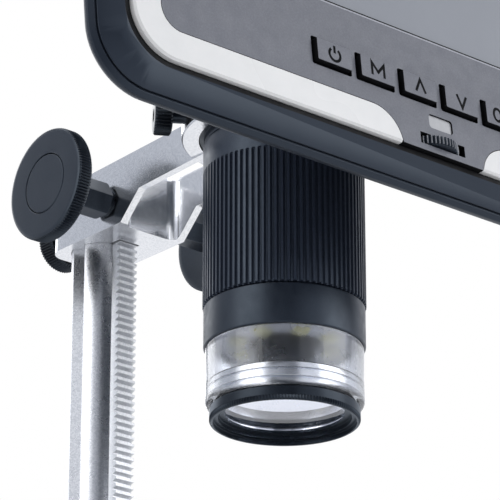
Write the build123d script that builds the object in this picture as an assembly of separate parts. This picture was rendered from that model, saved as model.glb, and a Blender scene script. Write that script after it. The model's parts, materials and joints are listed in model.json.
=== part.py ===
from build123d import *
import os
from math import acos, atan2, cos, degrees, pi, radians, sin, sqrt, tan

# Bench microscope with its own display: a camera barrel held in the ring of a cast arm that
# slides on a toothed column, and a 5 inch monitor hinged to the front of the camera head.
# Millimetres. +Z is up and the user stands on the -Y side. The origin is on the bench, under
# the middle of the foot. The monitor and camera head are drawn in frames of their own.

# --- stand ---
foot_stand = 2.0            # rubber shows below the plate
foot_radius = 8.0
foot_recess = 1.5           # pocket that holds a rubber foot
foot_inset = 17.0           # from the plate's edges to a foot's centre
base_depth = 150.0
base_width = 112.0
base_thickness = 12.0
base_corner = 20.0
base_edge = 2.0             # bevel of the plate's upper edge
stage_radius = 30.0
stage_thickness = 3.0
stage_recess = 2.6          # depth of its seat in the plate
stage_side_gap = 0.2
column_radius = 6.85
column_socket = 6.0         # how deep the column stands in the plate
column_height = 158.6       # above the plate, without its cap
column_inset = 29.55        # column axis to the plate's rear edge
column_groove_depth = 1.9   # side vee grooves that keep the arm from turning
column_groove_width = 4.0
collar_radius = 13.0
collar_height = 9.0
column_screw_radius = 3.0
column_screw_reach = 14.0   # thread length inside the column
screw_head_radius = 5.5
screw_head_height = 5.0
cap_thickness = 2.4
cap_edge = 0.8

# --- rack and pinion ---
tooth_module = 0.5
pressure_angle = 20.0
pinion_teeth = 12
rack_addendum = 0.35        # tooth tip above the rolling line, short so 12 teeth aren't undercut
rack_dedendum = 0.75
tooth_clearance = 0.13      # tip to root, both ways
backlash = 0.05             # off each flank of the pinion's teeth
rack_width = 4.8
rack_proud = 2.05           # rack tips in front of the column's round face
rack_seat = 2.0             # depth of the rack's slot in the column
rack_end_gap = 3.0          # plain column left above and below the rack
pinion_width = 5.2

# --- arm ---
arm_reach = 59.75           # column axis to barrel axis
cheek_half_width = 8.75
cheek_wall = 1.75
cheek_bevel_height = 2.0    # bevel round the inside of the arm's open top
cheek_bevel_width = 0.9
carriage_height = 14.0
carriage_over_axis = 6.3    # underside of the carriage below the pinion's axis
carriage_rear = 8.45        # back of the carriage behind the column's axis
carriage_corner = 4.0
web_wall = 0.6              # wall in front of the pinion
web_lip = 1.15              # cheeks reach this far ahead of the web at the foot
cheek_step = 6.0            # how far the arm's underside stands above the carriage's
cheek_front = 6.2           # run of the slanted cheek edge
pocket_corner = 2.4
ring_outer = 21.0
ring_bore_gap = 0.1
ring_height = 8.5
slide_gap = 0.1             # running gap between arm and column
rack_gap = 0.35

# --- focus shaft and knobs ---
shaft_radius = 2.0
bush_radius = 3.2
bush_step = 0.4             # smaller where it is set in the cheek
bush_length = 0.6           # stands out of each cheek
bush_seat = 2.2             # inside the cheek
shaft_gap = 0.05
knob_radius = 12.3
knob_thickness = 3.55
knob_edge = 0.6
knob_hub_flats = 7.0        # across the flats of the hexagonal hub
knob_hub_length = 11.9
knob_hub_corner = 0.45      # turned off the inner corners
knob_cap_radius = 6.5
knob_cap_depth = 1.2
knob_cap_gap = 0.15
knob_screw_radius = 1.25
knob_screw_head = 2.4
knob_screw_length = 9.0
end_gap = 0.2               # between a turning piece and the piece beside it

# --- lock screw behind the carriage ---
lock_stud_radius = 2.0
lock_knob_radius = 6.0
lock_knob_length = 4.5
lock_hub_radius = 4.0
lock_hub_length = 2.8
lock_stud_gap = 0.3         # stud tip off the column while slack

# --- clamp screw in the ring ---
clamp_angle = 147.0         # about the barrel, from +X
clamp_stud_radius = 1.4
clamp_stand_off = 2.15      # bare stud between the ring and the knob
clamp_knob_radius = 4.05
clamp_knob_length = 3.75
clamp_stud_end = 0.8        # below the knob's outer face
clamp_flute_radius = 0.35
clamp_flutes = 24

# --- camera barrel, heights up from the filter's face ---
working_gap = 92.0          # filter to plate with the arm at the top of its travel
filter_radius = 15.05
filter_height = 2.9
filter_mouth = 14.3         # stepped opening, widest at the face
filter_mouth_depth = 1.0
filter_step = 13.3
filter_step_depth = 1.9
filter_opening = 12.0
filter_lip = 2.4            # seat of the glass above the face
filter_glass_radius = 12.45
filter_glass_thickness = 1.6
spigot_radius = 13.0
spigot_height = 3.0
skirt_radius = 15.95
skirt_height = 12.2
skirt_wall = 1.7
skirt_lip_round = 1.1
thread_ring_lift = 0.1      # above the skirt's lip
thread_ring_height = 4.7
band_radius = 16.3
band_height = 8.4
led_board_thickness = 1.0
led_board_bore = 7.2
led_count = 8
led_circle = 9.7
led_size = 2.8
led_height = 0.9
tube_outer = 12.8           # fixed inner tube that joins the band to the head
tube_wall = 1.4
sleeve_radius = 16.5
sleeve_height = 35.3
shoulder_height = 6.3       # plain part above the flutes
sleeve_edge = 0.3
flute_count = 80
flute_width = 0.84
flute_depth = 0.62
flute_floor = 0.4
flute_run_out = 0.7         # sloped upper end of a flute
neck_radius = 17.35
neck_height = 0.9           # step of the neck that shows below the ring
neck_step_radius = 16.35
neck_set_up = 0.3           # full neck above the ring's lower face
flange_radius = 19.5        # rests on the ring
flange_height = 2.5
head_height = 20.5          # above the ring
head_flat = 15.0            # flat for the hinge bracket, from the axis
head_chamber_radius = 13.0
head_chamber_height = 8.0
head_cap_height = 4.0
head_cap_bevel = 2.0
seam = 0.3                  # gap between pieces that turn against each other
seat_gap = 0.05             # under a flange that rests and turns

# --- lens that the fluted sleeve drives ---
lens_nose_radius = 6.0
lens_nose_drop = 3.7        # nose below the band
lens_bore = 4.4
lens_collar_height = 9.0
lens_collar_lift = 16.0     # collar above the foot of the inner tube
lens_travel = 6.0
drive_pins = 3
drive_pin_radius = 0.9
drive_pin_reach = 1.1       # beyond the tube into the sleeve's groove
lens_gap = 0.1
sensor_board_thickness = 1.6
sensor_size = 7.0
sensor_height = 1.4

# --- monitor: x across, y back from the front face, z up the face ---
lean = 6.0
monitor_level = 45.1        # z = 0 above the filter's face
screen_width = 112.5
screen_height = 64.5
screen_low = 22.6
screen_recess = 0.5
window_thickness = 1.0
plate_side = 13.15           # faceplate beside the screen
plate_low = 3.5
plate_over_screen = 9.4     # faceplate above the screen
plate_corner = 4.5
plate_thickness = 2.0
trim_width = 6.2
trim_gap = 0.15
trim_bevel = 0.4
trim_corner = 9.5
tongue_root = 18.0          # half width of the faceplate's tongue where it leaves the plate
tongue_round = 7.45         # its hollow flanks, which round the ends of the trims
groove_width = 1.5
groove_depth = 1.25         # behind the front face
seat_clearance = 0.1        # round the trims in the frame
frame_setback = 0.8
frame_width = 4.45
frame_depth = 3.6           # parting line behind the front face
frame_back = 6.8
frame_block_inset = 7.0     # edge of the frame's thick middle, from the shell's outline
frame_lip_gap = 0.1         # between the frame's lip and the shell
rim_width = 1.2             # rear shell outside the parting line
rim_front = 0.8             # bevel up to the parting line
rim_depth = 7.1             # back of the thin edge
rim_back_round = 2.3
parting = 0.2
panel_depth = 4.8
panel_margin = 4.0
panel_ledge = 4.0           # frame behind the panel, inside the screen's edge
shell_depth = 19.0
shell_wall = 2.0
shell_corner_extra = 1.4
back_inset = 3.0            # foot of the sloped back, inside the outline
back_slope = 38.0           # from straight back
back_corner = 16.0
back_edge = 1.6             # bevel round the flat middle

# --- keys ---
key_count = 6
key_pitch = 11.15
key_pocket_width = 10.0
key_pocket_low = 7.4
key_pocket_height = 6.0
key_gap = 0.63
key_proud = 1.0
key_travel = 0.5
key_flange = 0.4            # beyond the pocket, behind the plate
key_flange_thickness = 0.6
key_flange_gap = 0.1
mat_thickness = 1.0
ir_width = 6.3
ir_height = 3.0
ir_low = 2.6
ir_recess = 0.35
ir_corner = 0.7

# --- brightness wheel ---
wheel_radius = 6.1
wheel_proud = 1.7
wheel_thickness = 1.9
wheel_ribs = 46
wheel_rib_depth = 0.35
wheel_slot_half = 5.9
wheel_slot_gap = 0.27
wheel_middle = -0.3         # middle of its thickness, up the face
wheel_axle_radius = 1.0
wheel_axle_reach = 2.4

# --- tilt hinge ---
hinge_reach = 4.51          # tilt axis ahead of the head's flat
hinge_rise = 37.0           # up the monitor
hinge_offset = 4.2          # axis behind the monitor's back
lug_radius = 3.8
lug_inner = 9.4
lug_width = 5.0
lug_plate = 1.6             # plate that carries the lugs, screwed on the monitor's back
lug_plate_margin = 3.0
lug_window_inset = 1.6      # inside the eyes
lug_window_rise = 5.0
hinge_pin_radius = 1.6
knuckle_radius = 3.6
bracket_half_height = 6.0
bracket_half_width = 8.4
bracket_plate = 1.6
bracket_screw_radius = 1.0
bracket_screw_span = 6.6
bracket_screw_length = 5.0

# --- board, sockets and screws of the monitor ---
board_thickness = 1.6
board_depth = 8.0
board_side_gap = 1.8        # to the screw bosses beside it
board_end_gap = 9.0         # below the frame's top
board_low_gap = 0.3
board_post_inset = 5.0
boss_radius = 3.2
case_screw_radius = 1.25
case_screw_head = 2.5
case_screw_inset = 17.8
socket_wall_inset = 10.9    # upright wall that the sockets open in, from the monitor's side
socket_bay_low = 18.0
socket_bay_high = 90.0
socket_bay_floor = 8.6
socket_middle = 13.0        # behind the front face
socket_depth = 8.0
socket_set_back = 0.4
jack_radius = 3.6
jack_hole = 2.6
jack_pin = 1.0
jack_level = 26.0
usb_width = 9.0
usb_thickness = 4.6
usb_mouth_width = 7.6
usb_mouth = 3.0
usb_level = 46.0
card_width = 26.0
card_thickness = 3.4
card_mouth = 2.2
card_level = 72.0
socket_wall = 1.0

# --- worked out from the above ---
base_top = foot_stand + base_thickness
column_y = base_depth / 2 - column_inset
barrel_y = column_y - arm_reach
barrel_z = base_top + working_gap
column_top = base_top + column_height

pitch_radius = pinion_teeth * tooth_module / 2
tooth_pitch = pi * tooth_module
rack_tip_y = column_y - column_radius - rack_proud
rack_line_y = rack_tip_y + rack_addendum
pinion_y = rack_line_y - pitch_radius
pinion_tip = pitch_radius + rack_dedendum - tooth_clearance
pinion_root = pitch_radius - rack_addendum - tooth_clearance

skirt_z = filter_height + seam
skirt_bore = skirt_radius - skirt_wall
band_z = skirt_z + skirt_height
lamp_board_z = band_z + led_height
tube_low = lamp_board_z + led_board_thickness
sleeve_z = band_z + band_height + seam
neck_z = sleeve_z + sleeve_height + seam
ring_z = neck_z + neck_height + seam
ring_top = ring_z + ring_height
head_top = ring_top + head_height
tube_inner = tube_outer - tube_wall
sleeve_bore = tube_outer + lens_gap
ring_bore = neck_radius + ring_bore_gap

arm_bottom = barrel_z + ring_z - cheek_step - 1.0
pinion_z = arm_bottom + carriage_over_axis
web_front = pinion_y - pinion_tip - tooth_clearance - web_wall

plate_half_width = screen_width / 2 + plate_side
slab_half_width = plate_half_width + trim_width + trim_gap
plate_top = screen_low + screen_height + plate_over_screen
slab_low = plate_low - trim_width - trim_gap
slab_top = plate_top + trim_width + trim_gap
frame_half_width = slab_half_width + groove_width + frame_width
frame_low = slab_low - groove_width - frame_width
frame_top = slab_top + groove_width + frame_width
shell_half_width = frame_half_width + rim_width
shell_low = frame_low - rim_width
shell_top = frame_top + rim_width
frame_corner = trim_corner + 1.6
shell_corner = frame_corner + shell_corner_extra
socket_wall_x = shell_half_width - socket_wall_inset
lean_turn = radians(lean)
hinge_to_front = (shell_depth + hinge_offset) * cos(lean_turn) + hinge_rise * sin(lean_turn)
monitor_front = head_flat + hinge_reach + hinge_to_front
wheel_axis_y = wheel_radius - wheel_proud
wheel_top = wheel_middle + wheel_thickness / 2
case_screw_x = frame_half_width - case_screw_inset
board_half_width = case_screw_x - boss_radius - board_side_gap
board_low = wheel_top + wheel_axle_reach + board_low_gap
board_high = frame_top - board_end_gap
key_low = key_pocket_low + key_gap
key_names = ["power_button", "menu_button", "up_button", "down_button", "ok_button", "snap_button"]

HEAD = Pos(0, barrel_y, barrel_z)
MONITOR = HEAD * Pos(0, -monitor_front, monitor_level) * Rot(-lean, 0, 0)
UP = (Align.CENTER, Align.CENTER, Align.MIN)


def disc(radius, low, high):
    return Pos(0, 0, low) * Cylinder(radius, high - low, align=UP)


def tube(outer, inner, low, high):
    return disc(outer, low, high) - disc(inner, low - 1, high + 1)


def block(x0, x1, y0, y1, z0, z1):
    return Pos(x0, y0, z0) * Box(x1 - x0, y1 - y0, z1 - z0, align=(Align.MIN,) * 3)


def along_x(radius, x0, x1, y, z):
    return Pos(x0, y, z) * Rot(0, 90, 0) * Cylinder(radius, x1 - x0, align=UP)


def along_y(radius, y0, y1, x, z):
    return Pos(x, y1, z) * Rot(90, 0, 0) * Cylinder(radius, y1 - y0, align=UP)


def bevel_top(solid, size, drop=None):
    """Bevel the outer edge of an upright piece's upper face."""
    face = solid.faces().sort_by(Axis.Z)[-1]
    return chamfer(face.outer_wire().edges(), size, drop or size, reference=face)


def bevel_bottom(solid, size):
    return chamfer(solid.faces().sort_by(Axis.Z)[0].outer_wire().edges(), size)


# ---------------------------------------------------------------- stand

def base_outline(inset=0.0):
    size_x, size_y = base_width - 2 * inset, base_depth - 2 * inset
    return RectangleRounded(size_x, size_y, base_corner - inset)


def foot_places():
    x, y = base_width / 2 - foot_inset, base_depth / 2 - foot_inset
    return [(sx * x, sy * y) for sx in (-1, 1) for sy in (-1, 1)]


def base_plate():
    plate = Pos(0, 0, foot_stand) * extrude(base_outline(), base_thickness)
    plate = bevel_top(plate, base_edge)
    plate -= Pos(0, barrel_y, 0) * disc(stage_radius + stage_side_gap, base_top - stage_recess, base_top + 1)
    plate -= Pos(0, column_y, 0) * disc(column_radius, base_top - column_socket, base_top + 1)
    plate -= Pos(0, column_y, 0) * disc(column_screw_radius + 0.3, 0, base_top)
    plate -= Pos(0, column_y, 0) * disc(screw_head_radius + 0.4, 0, foot_stand + screw_head_height + 0.6)
    for x, y in foot_places():
        plate -= Pos(x, y, 0) * disc(foot_radius, 0, foot_stand + foot_recess)
    return plate


def stage_plate():
    low = base_top - stage_recess
    plate = disc(stage_radius, low, low + stage_thickness)
    return Pos(0, barrel_y, 0) * chamfer(plate.faces().sort_by(Axis.Z)[-1].edges(), 0.3)


def rubber_feet():
    foot = bevel_bottom(disc(foot_radius, 0, foot_stand + foot_recess), 0.6)
    return Compound([Pos(x, y, 0) * foot for x, y in foot_places()])


def column_section():
    """Round bar with a vee groove down each side and the rack's slot down its front."""
    section = Circle(column_radius)
    floor = column_radius - column_groove_depth
    mouth = sqrt(column_radius ** 2 - (column_groove_width / 2) ** 2)
    deep, wide = floor + 2 * (mouth - floor), column_groove_width
    for side in (-1, 1):
        corners = [(side * floor, 0), (side * deep, wide), (side * deep, -wide)]
        section -= make_face(Polyline(*corners, close=True))
    slot = Rectangle(rack_width, rack_seat * 2)
    return section - Pos(0, -column_radius) * slot


def column():
    low = base_top - column_socket
    bar = Pos(0, 0, low) * extrude(column_section(), column_top - low)
    bar -= disc(column_screw_radius, low - 1, low + column_screw_reach)
    return Pos(0, column_y, 0) * bar


def column_collar():
    ring = bevel_top(disc(collar_radius, base_top, base_top + collar_height), 1.5)
    return Pos(0, column_y, 0) * (ring - disc(column_radius, base_top - 1, base_top + collar_height + 1))


def column_screw():
    head_low = foot_stand + 0.6
    head_top = head_low + screw_head_height
    screw = disc(screw_head_radius, head_low, head_top)
    screw -= Pos(0, 0, head_low) * extrude(RegularPolygon(2.5, 6), 2.6)
    reach = base_top - column_socket + column_screw_reach - 1.0
    return Pos(0, column_y, 0) * (screw + disc(column_screw_radius, head_top, reach))


def column_cap():
    cap = disc(column_radius, column_top, column_top + cap_thickness)
    cap = chamfer(cap.faces().sort_by(Axis.Z)[-1].edges(), cap_edge)
    return Pos(0, column_y, 0) * (cap & Pos(0, 0, column_top) * extrude(column_section(), cap_thickness))


# ---------------------------------------------------------------- rack and pinion

def rack_strip():
    """Straight rack: trapezium teeth at the module's pitch, one centred at the pinion's height."""
    low = base_top + collar_height + rack_end_gap
    high = column_top - rack_end_gap
    slope = tan(radians(pressure_angle))
    half_line = tooth_pitch / 4
    half_tip, half_root = half_line - rack_addendum * slope, half_line + rack_dedendum * slope
    tip_y, root_y = rack_tip_y, rack_line_y + rack_dedendum
    back_y = column_y - column_radius + rack_seat
    first = int((low - pinion_z) / tooth_pitch) + 1
    last = int((high - pinion_z) / tooth_pitch) - 1
    edge = [(root_y, low)]
    for index in range(first, last + 1):
        middle = pinion_z + index * tooth_pitch
        edge += [(root_y, middle - half_root), (tip_y, middle - half_tip)]
        edge += [(tip_y, middle + half_tip), (root_y, middle + half_root)]
    edge += [(root_y, high), (back_y, high), (back_y, low)]
    face = Plane.YZ * make_face(Polyline(*edge, close=True))
    return Pos(-rack_width / 2, 0, 0) * extrude(face, rack_width, dir=(1, 0, 0))


def involute_point(base, radius, offset):
    angle = acos(base / radius)
    turn = offset + tan(angle) - angle
    return radius * cos(turn), radius * sin(turn)


def pinion_outline():
    """Involute teeth thinned by the backlash, with a tooth gap centred on the +y side."""
    alpha = radians(pressure_angle)
    base = pitch_radius * cos(alpha)
    half_tooth = pi / (2 * pinion_teeth) + (tan(alpha) - alpha) - backlash / pitch_radius
    start = max(base * 1.0005, pinion_root)
    steps = [start + (pinion_tip - start) * i / 4 for i in range(5)]
    points = []
    for tooth in range(pinion_teeth):
        middle = pi / 2 + (tooth + 0.5) * 2 * pi / pinion_teeth
        right = [involute_point(base, r, -half_tooth) for r in steps]
        root = pinion_root, -half_tooth
        ring = [(root[0] * cos(root[1]), root[0] * sin(root[1]))] + right
        ring += [(x, -y) for x, y in reversed(ring)]
        points += [(x * cos(middle) - y * sin(middle), x * sin(middle) + y * cos(middle)) for x, y in ring]
    return points


def pinion_shaft():
    half = cheek_half_width + bush_length + knob_hub_length + end_gap
    outline = Plane.YZ * make_face(Polyline(*pinion_outline(), close=True))
    teeth = Pos(-pinion_width / 2, pinion_y, pinion_z) * extrude(outline, pinion_width, dir=(1, 0, 0))
    shaft = along_x(shaft_radius, -half, half, pinion_y, pinion_z)
    for side in (-1, 1):
        end = side * half
        inner = side * (half - knob_screw_length + 2.0)
        shaft -= along_x(knob_screw_radius, min(end, inner), max(end, inner), pinion_y, pinion_z)
    return shaft + teeth


# ---------------------------------------------------------------- arm

def arm_side():
    """Side view of the arm and carriage: top falls gently to the back, cheeks slope back below."""
    back = column_y + carriage_rear + 1
    ring_low, ring_high = barrel_z + ring_z, barrel_z + ring_top
    front = barrel_y + ring_outer * 0.5
    foot = web_front - web_lip
    points = [(front, ring_low), (foot - cheek_front, arm_bottom + cheek_step), (foot, arm_bottom),
              (back, arm_bottom), (back, arm_bottom + carriage_height),
              (barrel_y + ring_outer, ring_high), (front, ring_high)]
    return Plane.YZ * make_face(Polyline(*points, close=True))


def arm_plan():
    """Top view: parallel cheeks from the ring to the square back with its rounded corners."""
    back = column_y + carriage_rear
    front = barrel_y - carriage_corner
    return Pos(0, (front + back) / 2) * RectangleRounded(2 * cheek_half_width, back - front, carriage_corner)


def arm_pocket():
    """The space between the cheeks, open above and below."""
    half = cheek_half_width - cheek_wall
    pocket = block(-half, half, barrel_y, web_front, arm_bottom - 1, arm_bottom + 2 * carriage_height)
    return fillet(pocket.edges().filter_by(Axis.Z).sort_by(Axis.Y)[-2:], pocket_corner)


def pocket_bevel():
    """Widening cut that slopes the inner upper edges of the cheeks and web."""
    half = cheek_half_width - cheek_wall
    low = barrel_z + ring_top - cheek_bevel_height
    middle, length = (barrel_y + web_front) / 2, web_front - barrel_y
    plan = Pos(0, middle) * RectangleRounded(2 * half, length, pocket_corner)
    lean_out = degrees(atan2(cheek_bevel_width, cheek_bevel_height))
    return Pos(0, 0, low) * extrude(plan, 2 * cheek_bevel_height, taper=-lean_out)


def arm_casting():
    side = Pos(-cheek_half_width, 0, 0) * extrude(arm_side(), 2 * cheek_half_width, dir=(1, 0, 0))
    tall = extrude(arm_plan(), arm_bottom + 3 * carriage_height)
    ring = disc(ring_outer, ring_z, ring_top)
    ring = HEAD * chamfer(ring.edges().filter_by(GeomType.CIRCLE), 0.3)
    arm = (side & tall) - arm_pocket() - pocket_bevel() + ring
    arm -= HEAD * disc(ring_bore, 0, head_top)
    arm -= column_passage()
    half = cheek_half_width + 1
    arm -= along_x(shaft_radius + 4 * shaft_gap, -half, half, pinion_y, pinion_z)
    chamber = pinion_width / 2 + end_gap
    arm -= along_x(pinion_tip + tooth_clearance, -chamber, chamber, pinion_y, pinion_z)
    for side_x in (-1, 1):
        outer, inner = side_x * half, side_x * (cheek_half_width - bush_seat)
        arm -= along_x(bush_radius - bush_step, min(outer, inner), max(outer, inner), pinion_y, pinion_z)
    arm -= along_y(lock_stud_radius + shaft_gap, column_y, column_y + carriage_rear + 1, 0, pinion_z)
    return arm - clamp_axis() * disc(clamp_stud_radius + shaft_gap, 0, ring_outer + 5)


def guide_key(side):
    """Vee key along the bore that runs in the column's side groove."""
    floor = column_radius - column_groove_depth + slide_gap
    mouth = sqrt(column_radius ** 2 - (column_groove_width / 2) ** 2)
    slope = (column_groove_width / 2) / (mouth - column_radius + column_groove_depth)
    reach = column_radius + 1.0
    half = (reach - floor) * slope
    return make_face(Polyline((side * floor, 0), (side * reach, half), (side * reach, -half), close=True))


def column_passage():
    """Bore for the round column with its two keys, and a square slot for the rack."""
    low, high = arm_bottom - 1, arm_bottom + carriage_height + 1
    outline = Circle(column_radius + slide_gap) - guide_key(-1) - guide_key(1)
    bore = Pos(0, column_y, low) * extrude(outline, high - low)
    half = rack_width / 2 + rack_gap
    return bore + block(-half, half, rack_tip_y - rack_gap, column_y, low, high)


def shaft_bush(side):
    out = side * (cheek_half_width + bush_length)
    flange = side * cheek_half_width
    inner = side * (cheek_half_width - bush_seat)
    bush = along_x(bush_radius, min(out, flange), max(out, flange), pinion_y, pinion_z)
    bush += along_x(bush_radius - bush_step, min(flange, inner), max(flange, inner), pinion_y, pinion_z)
    reach = cheek_half_width + bush_length + 1
    return bush - along_x(shaft_radius + shaft_gap, -reach, reach, pinion_y, pinion_z)


# ---------------------------------------------------------------- focus knobs

def hex_hub(low, high):
    outline = Rot(0, 0, 30) * RegularPolygon(knob_hub_flats / 2, 6, major_radius=False)
    prism = Pos(0, 0, low) * extrude(outline, high - low)
    blank = disc(knob_hub_flats / sqrt(3), low, high)
    return prism & chamfer(blank.faces().sort_by(Axis.Z)[0].edges(), knob_hub_corner)


def focus_knob(side):
    """Disc with a bevelled rim, a hexagonal hub towards the arm and a seat for its cap."""
    hub_in = cheek_half_width + bush_length + end_gap
    face_in = hub_in + knob_hub_length
    face_out = face_in + knob_thickness
    disc_part = chamfer(disc(knob_radius, face_in, face_out).edges().filter_by(GeomType.CIRCLE), knob_edge)
    knob = disc_part + hex_hub(hub_in, face_in)
    knob -= disc(knob_cap_radius + knob_cap_gap, face_out - knob_cap_depth, face_out + 1)
    knob -= disc(shaft_radius, hub_in - 1, face_in)
    knob -= disc(knob_screw_radius, face_in - 1, face_out)
    knob -= disc(knob_screw_head, face_out - knob_cap_depth - 1.6, face_out)
    return Pos(0, pinion_y, pinion_z) * Rot(0, side * 90, 0) * knob


def knob_cap(side):
    face_out = cheek_half_width + bush_length + end_gap + knob_hub_length + knob_thickness
    cap = disc(knob_cap_radius, face_out - knob_cap_depth, face_out)
    cap = chamfer(cap.faces().sort_by(Axis.Z)[-1].edges(), 0.2)
    return Pos(0, pinion_y, pinion_z) * Rot(0, side * 90, 0) * cap


def knob_screws():
    face_out = cheek_half_width + bush_length + end_gap + knob_hub_length + knob_thickness
    head_top = face_out - knob_cap_depth - 0.1
    seat = face_out - knob_cap_depth - 1.6
    tip = face_out - knob_thickness - knob_screw_length + 2.5
    screw = disc(knob_screw_head, seat, head_top) + disc(knob_screw_radius, tip, seat)
    return Compound([Pos(0, pinion_y, pinion_z) * Rot(0, side * 90, 0) * screw for side in (-1, 1)])


# ---------------------------------------------------------------- lock and clamp screws

def lock_knob():
    start = column_y + carriage_rear + end_gap
    hub = along_y(lock_hub_radius, start, start + lock_hub_length, 0, pinion_z)
    grip = along_y(lock_knob_radius, start + lock_hub_length, start + lock_hub_length + lock_knob_length,
                   0, pinion_z)
    grip = chamfer(grip.edges().filter_by(GeomType.CIRCLE), 0.5)
    bore = along_y(lock_stud_radius, start - 1, start + lock_hub_length + lock_knob_length - 1.5, 0, pinion_z)
    return hub + grip - bore


def lock_stud():
    tip = column_y + column_radius + lock_stud_gap
    end = column_y + carriage_rear + end_gap + lock_hub_length + lock_knob_length - 1.5
    return along_y(lock_stud_radius, tip, end, 0, pinion_z)


def clamp_axis():
    """A frame on the barrel's axis at the ring's mid height whose +z points out along the screw."""
    return HEAD * Pos(0, 0, ring_z + ring_height / 2) * Rot(0, 0, clamp_angle) * Rot(0, 90, 0)


def clamp_start():
    return ring_outer + clamp_stand_off


def clamp_knob():
    """Small fluted thumb knob, open at its middle where the stud's end shows."""
    start, end = clamp_start(), clamp_start() + clamp_knob_length
    knob = disc(clamp_knob_radius, start, end)
    knob = chamfer(knob.edges().filter_by(GeomType.CIRCLE), 0.25)
    knob -= disc(clamp_stud_radius, start - 1, end + 1)
    cutter = disc(clamp_flute_radius, start - 1, end + 1)
    cutter = Pos(clamp_knob_radius + clamp_flute_radius / 2, 0, 0) * cutter
    cutters = [Rot(0, 0, index * 360 / clamp_flutes) * cutter for index in range(clamp_flutes)]
    return clamp_axis() * (knob - cutters)


def clamp_stud():
    end = clamp_start() + clamp_knob_length - clamp_stud_end
    return clamp_axis() * disc(clamp_stud_radius, ring_bore + 0.05, end)


# ---------------------------------------------------------------- filter and lit skirt

def filter_ring():
    """Screw-in ring: opening stepped inwards, glass on a lip, and a spigot up into the thread ring."""
    top = filter_height + spigot_height
    ring = bevel_bottom(disc(filter_radius, 0, filter_height), 0.35) + disc(spigot_radius, filter_height, top)
    ring -= disc(filter_opening, -1, top + 1)
    ring -= disc(filter_mouth, -1, filter_mouth_depth)
    ring -= disc(filter_step, -1, filter_step_depth)
    return HEAD * (ring - disc(filter_glass_radius, filter_lip, top + 1))


def filter_glass():
    return HEAD * disc(filter_glass_radius, filter_lip, filter_lip + filter_glass_thickness)


def clear_skirt():
    """Clear moulded skirt with a rounded lip, open inside so the lamps shine down through it."""
    shell = fillet(disc(skirt_radius, skirt_z, band_z).edges().sort_by(Axis.Z)[0], skirt_lip_round)
    return HEAD * (shell - disc(skirt_bore, skirt_z - 1, band_z + 1))


def thread_ring():
    low = skirt_z + thread_ring_lift
    return HEAD * tube(skirt_bore, spigot_radius + shaft_gap, low, low + thread_ring_height)


def light_board():
    return HEAD * tube(skirt_bore, led_board_bore, lamp_board_z, tube_low)


def leds():
    chip = Pos(led_circle, 0, lamp_board_z - led_height / 2) * Box(led_size, led_size, led_height)
    turns = [Rot(0, 0, (index + 0.5) * 360 / led_count) for index in range(led_count)]
    return Compound([HEAD * turn * chip for turn in turns])


def lower_band():
    top = band_z + band_height
    band = disc(band_radius, band_z, top)
    band -= disc(tube_outer, band_z - 1, top + 1)
    band -= disc(skirt_bore, band_z - 1, tube_low)
    outer = band.edges().filter_by(GeomType.CIRCLE).sort_by(SortBy.RADIUS)[-2:]
    return HEAD * chamfer(outer, 0.25)


# ---------------------------------------------------------------- sleeve, tube and lens

def inner_tube():
    low, high = tube_low, board_z()
    tube_part = tube(tube_outer, tube_inner, low, high)
    pin_z = low + lens_collar_lift + lens_collar_height / 2
    slot_low, slot_high = pin_z - drive_pin_radius - 0.4, pin_z + lens_travel + drive_pin_radius + 0.4
    width = drive_pin_radius + 0.15
    for index in range(drive_pins):
        turn = Rot(0, 0, index * 360 / drive_pins)
        tube_part -= turn * block(tube_inner - 2, tube_outer + 2, -width, width, slot_low, slot_high)
    return HEAD * tube_part


def flute_cutter(low, high):
    """One flute: a groove with sloping flanks whose floor runs out at its upper end."""
    floor, mouth = sleeve_radius - flute_depth, sleeve_radius + flute_depth
    side = Plane.XZ * make_face(Polyline((floor, low), (mouth, low), (mouth, high + flute_run_out),
                                         (floor, high), close=True))
    tall = extrude(side, flute_width, both=True)
    outer = flute_floor + 2 * (flute_width - flute_floor)
    flanks = make_face(Polyline((floor, -flute_floor / 2), (mouth, -outer / 2), (mouth, outer / 2),
                                (floor, flute_floor / 2), close=True))
    return tall & Pos(0, 0, low) * extrude(flanks, high - low + 2 * flute_run_out)


def focus_sleeve():
    """Grip sleeve: plain shoulder above a ring of close flutes that are open at the foot."""
    top = sleeve_z + sleeve_height
    body = disc(sleeve_radius, sleeve_z, top)
    body = bevel_top(body, sleeve_edge)
    body -= disc(sleeve_bore, sleeve_z - 1, top + 1)
    body -= drive_groove()
    cutter = flute_cutter(sleeve_z - 1, top - shoulder_height)
    cutters = [Rot(0, 0, index * 360 / flute_count) * cutter for index in range(flute_count)]
    return HEAD * (body - cutters)


def drive_groove():
    """Inside the sleeve, the ring groove that clears the drive pins over the lens's travel."""
    pin_z = tube_low + lens_collar_lift + lens_collar_height / 2
    outer, margin = tube_outer + drive_pin_reach + 0.3, drive_pin_radius + 0.5
    return tube(outer, sleeve_bore - 1, pin_z - margin, pin_z + lens_travel + margin)


def lens_cell():
    """Carrier with a long nose below, a collar that slides in the tube and three drive pins."""
    foot = band_z - lens_nose_drop
    collar_low = tube_low + lens_collar_lift
    collar_high = collar_low + lens_collar_height
    cell = disc(lens_nose_radius, foot, collar_low) + disc(tube_inner - lens_gap, collar_low, collar_high)
    cell = chamfer(cell.faces().sort_by(Axis.Z)[0].edges(), 0.6)
    for index in range(drive_pins):
        pin = along_x(drive_pin_radius, tube_inner - 2, tube_outer + drive_pin_reach, 0,
                      collar_low + lens_collar_height / 2)
        cell += Rot(0, 0, index * 360 / drive_pins) * pin
    return HEAD * (cell - disc(lens_bore, foot - 1, collar_high + 1))


def lens_element(low, thickness, bulge):
    """Plano-convex lens: a disc whose lower face is part of a sphere."""
    radius = (lens_bore ** 2 + bulge ** 2) / (2 * bulge)
    return disc(lens_bore, low, low + thickness) & Pos(0, 0, low + radius) * Sphere(radius)


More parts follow.
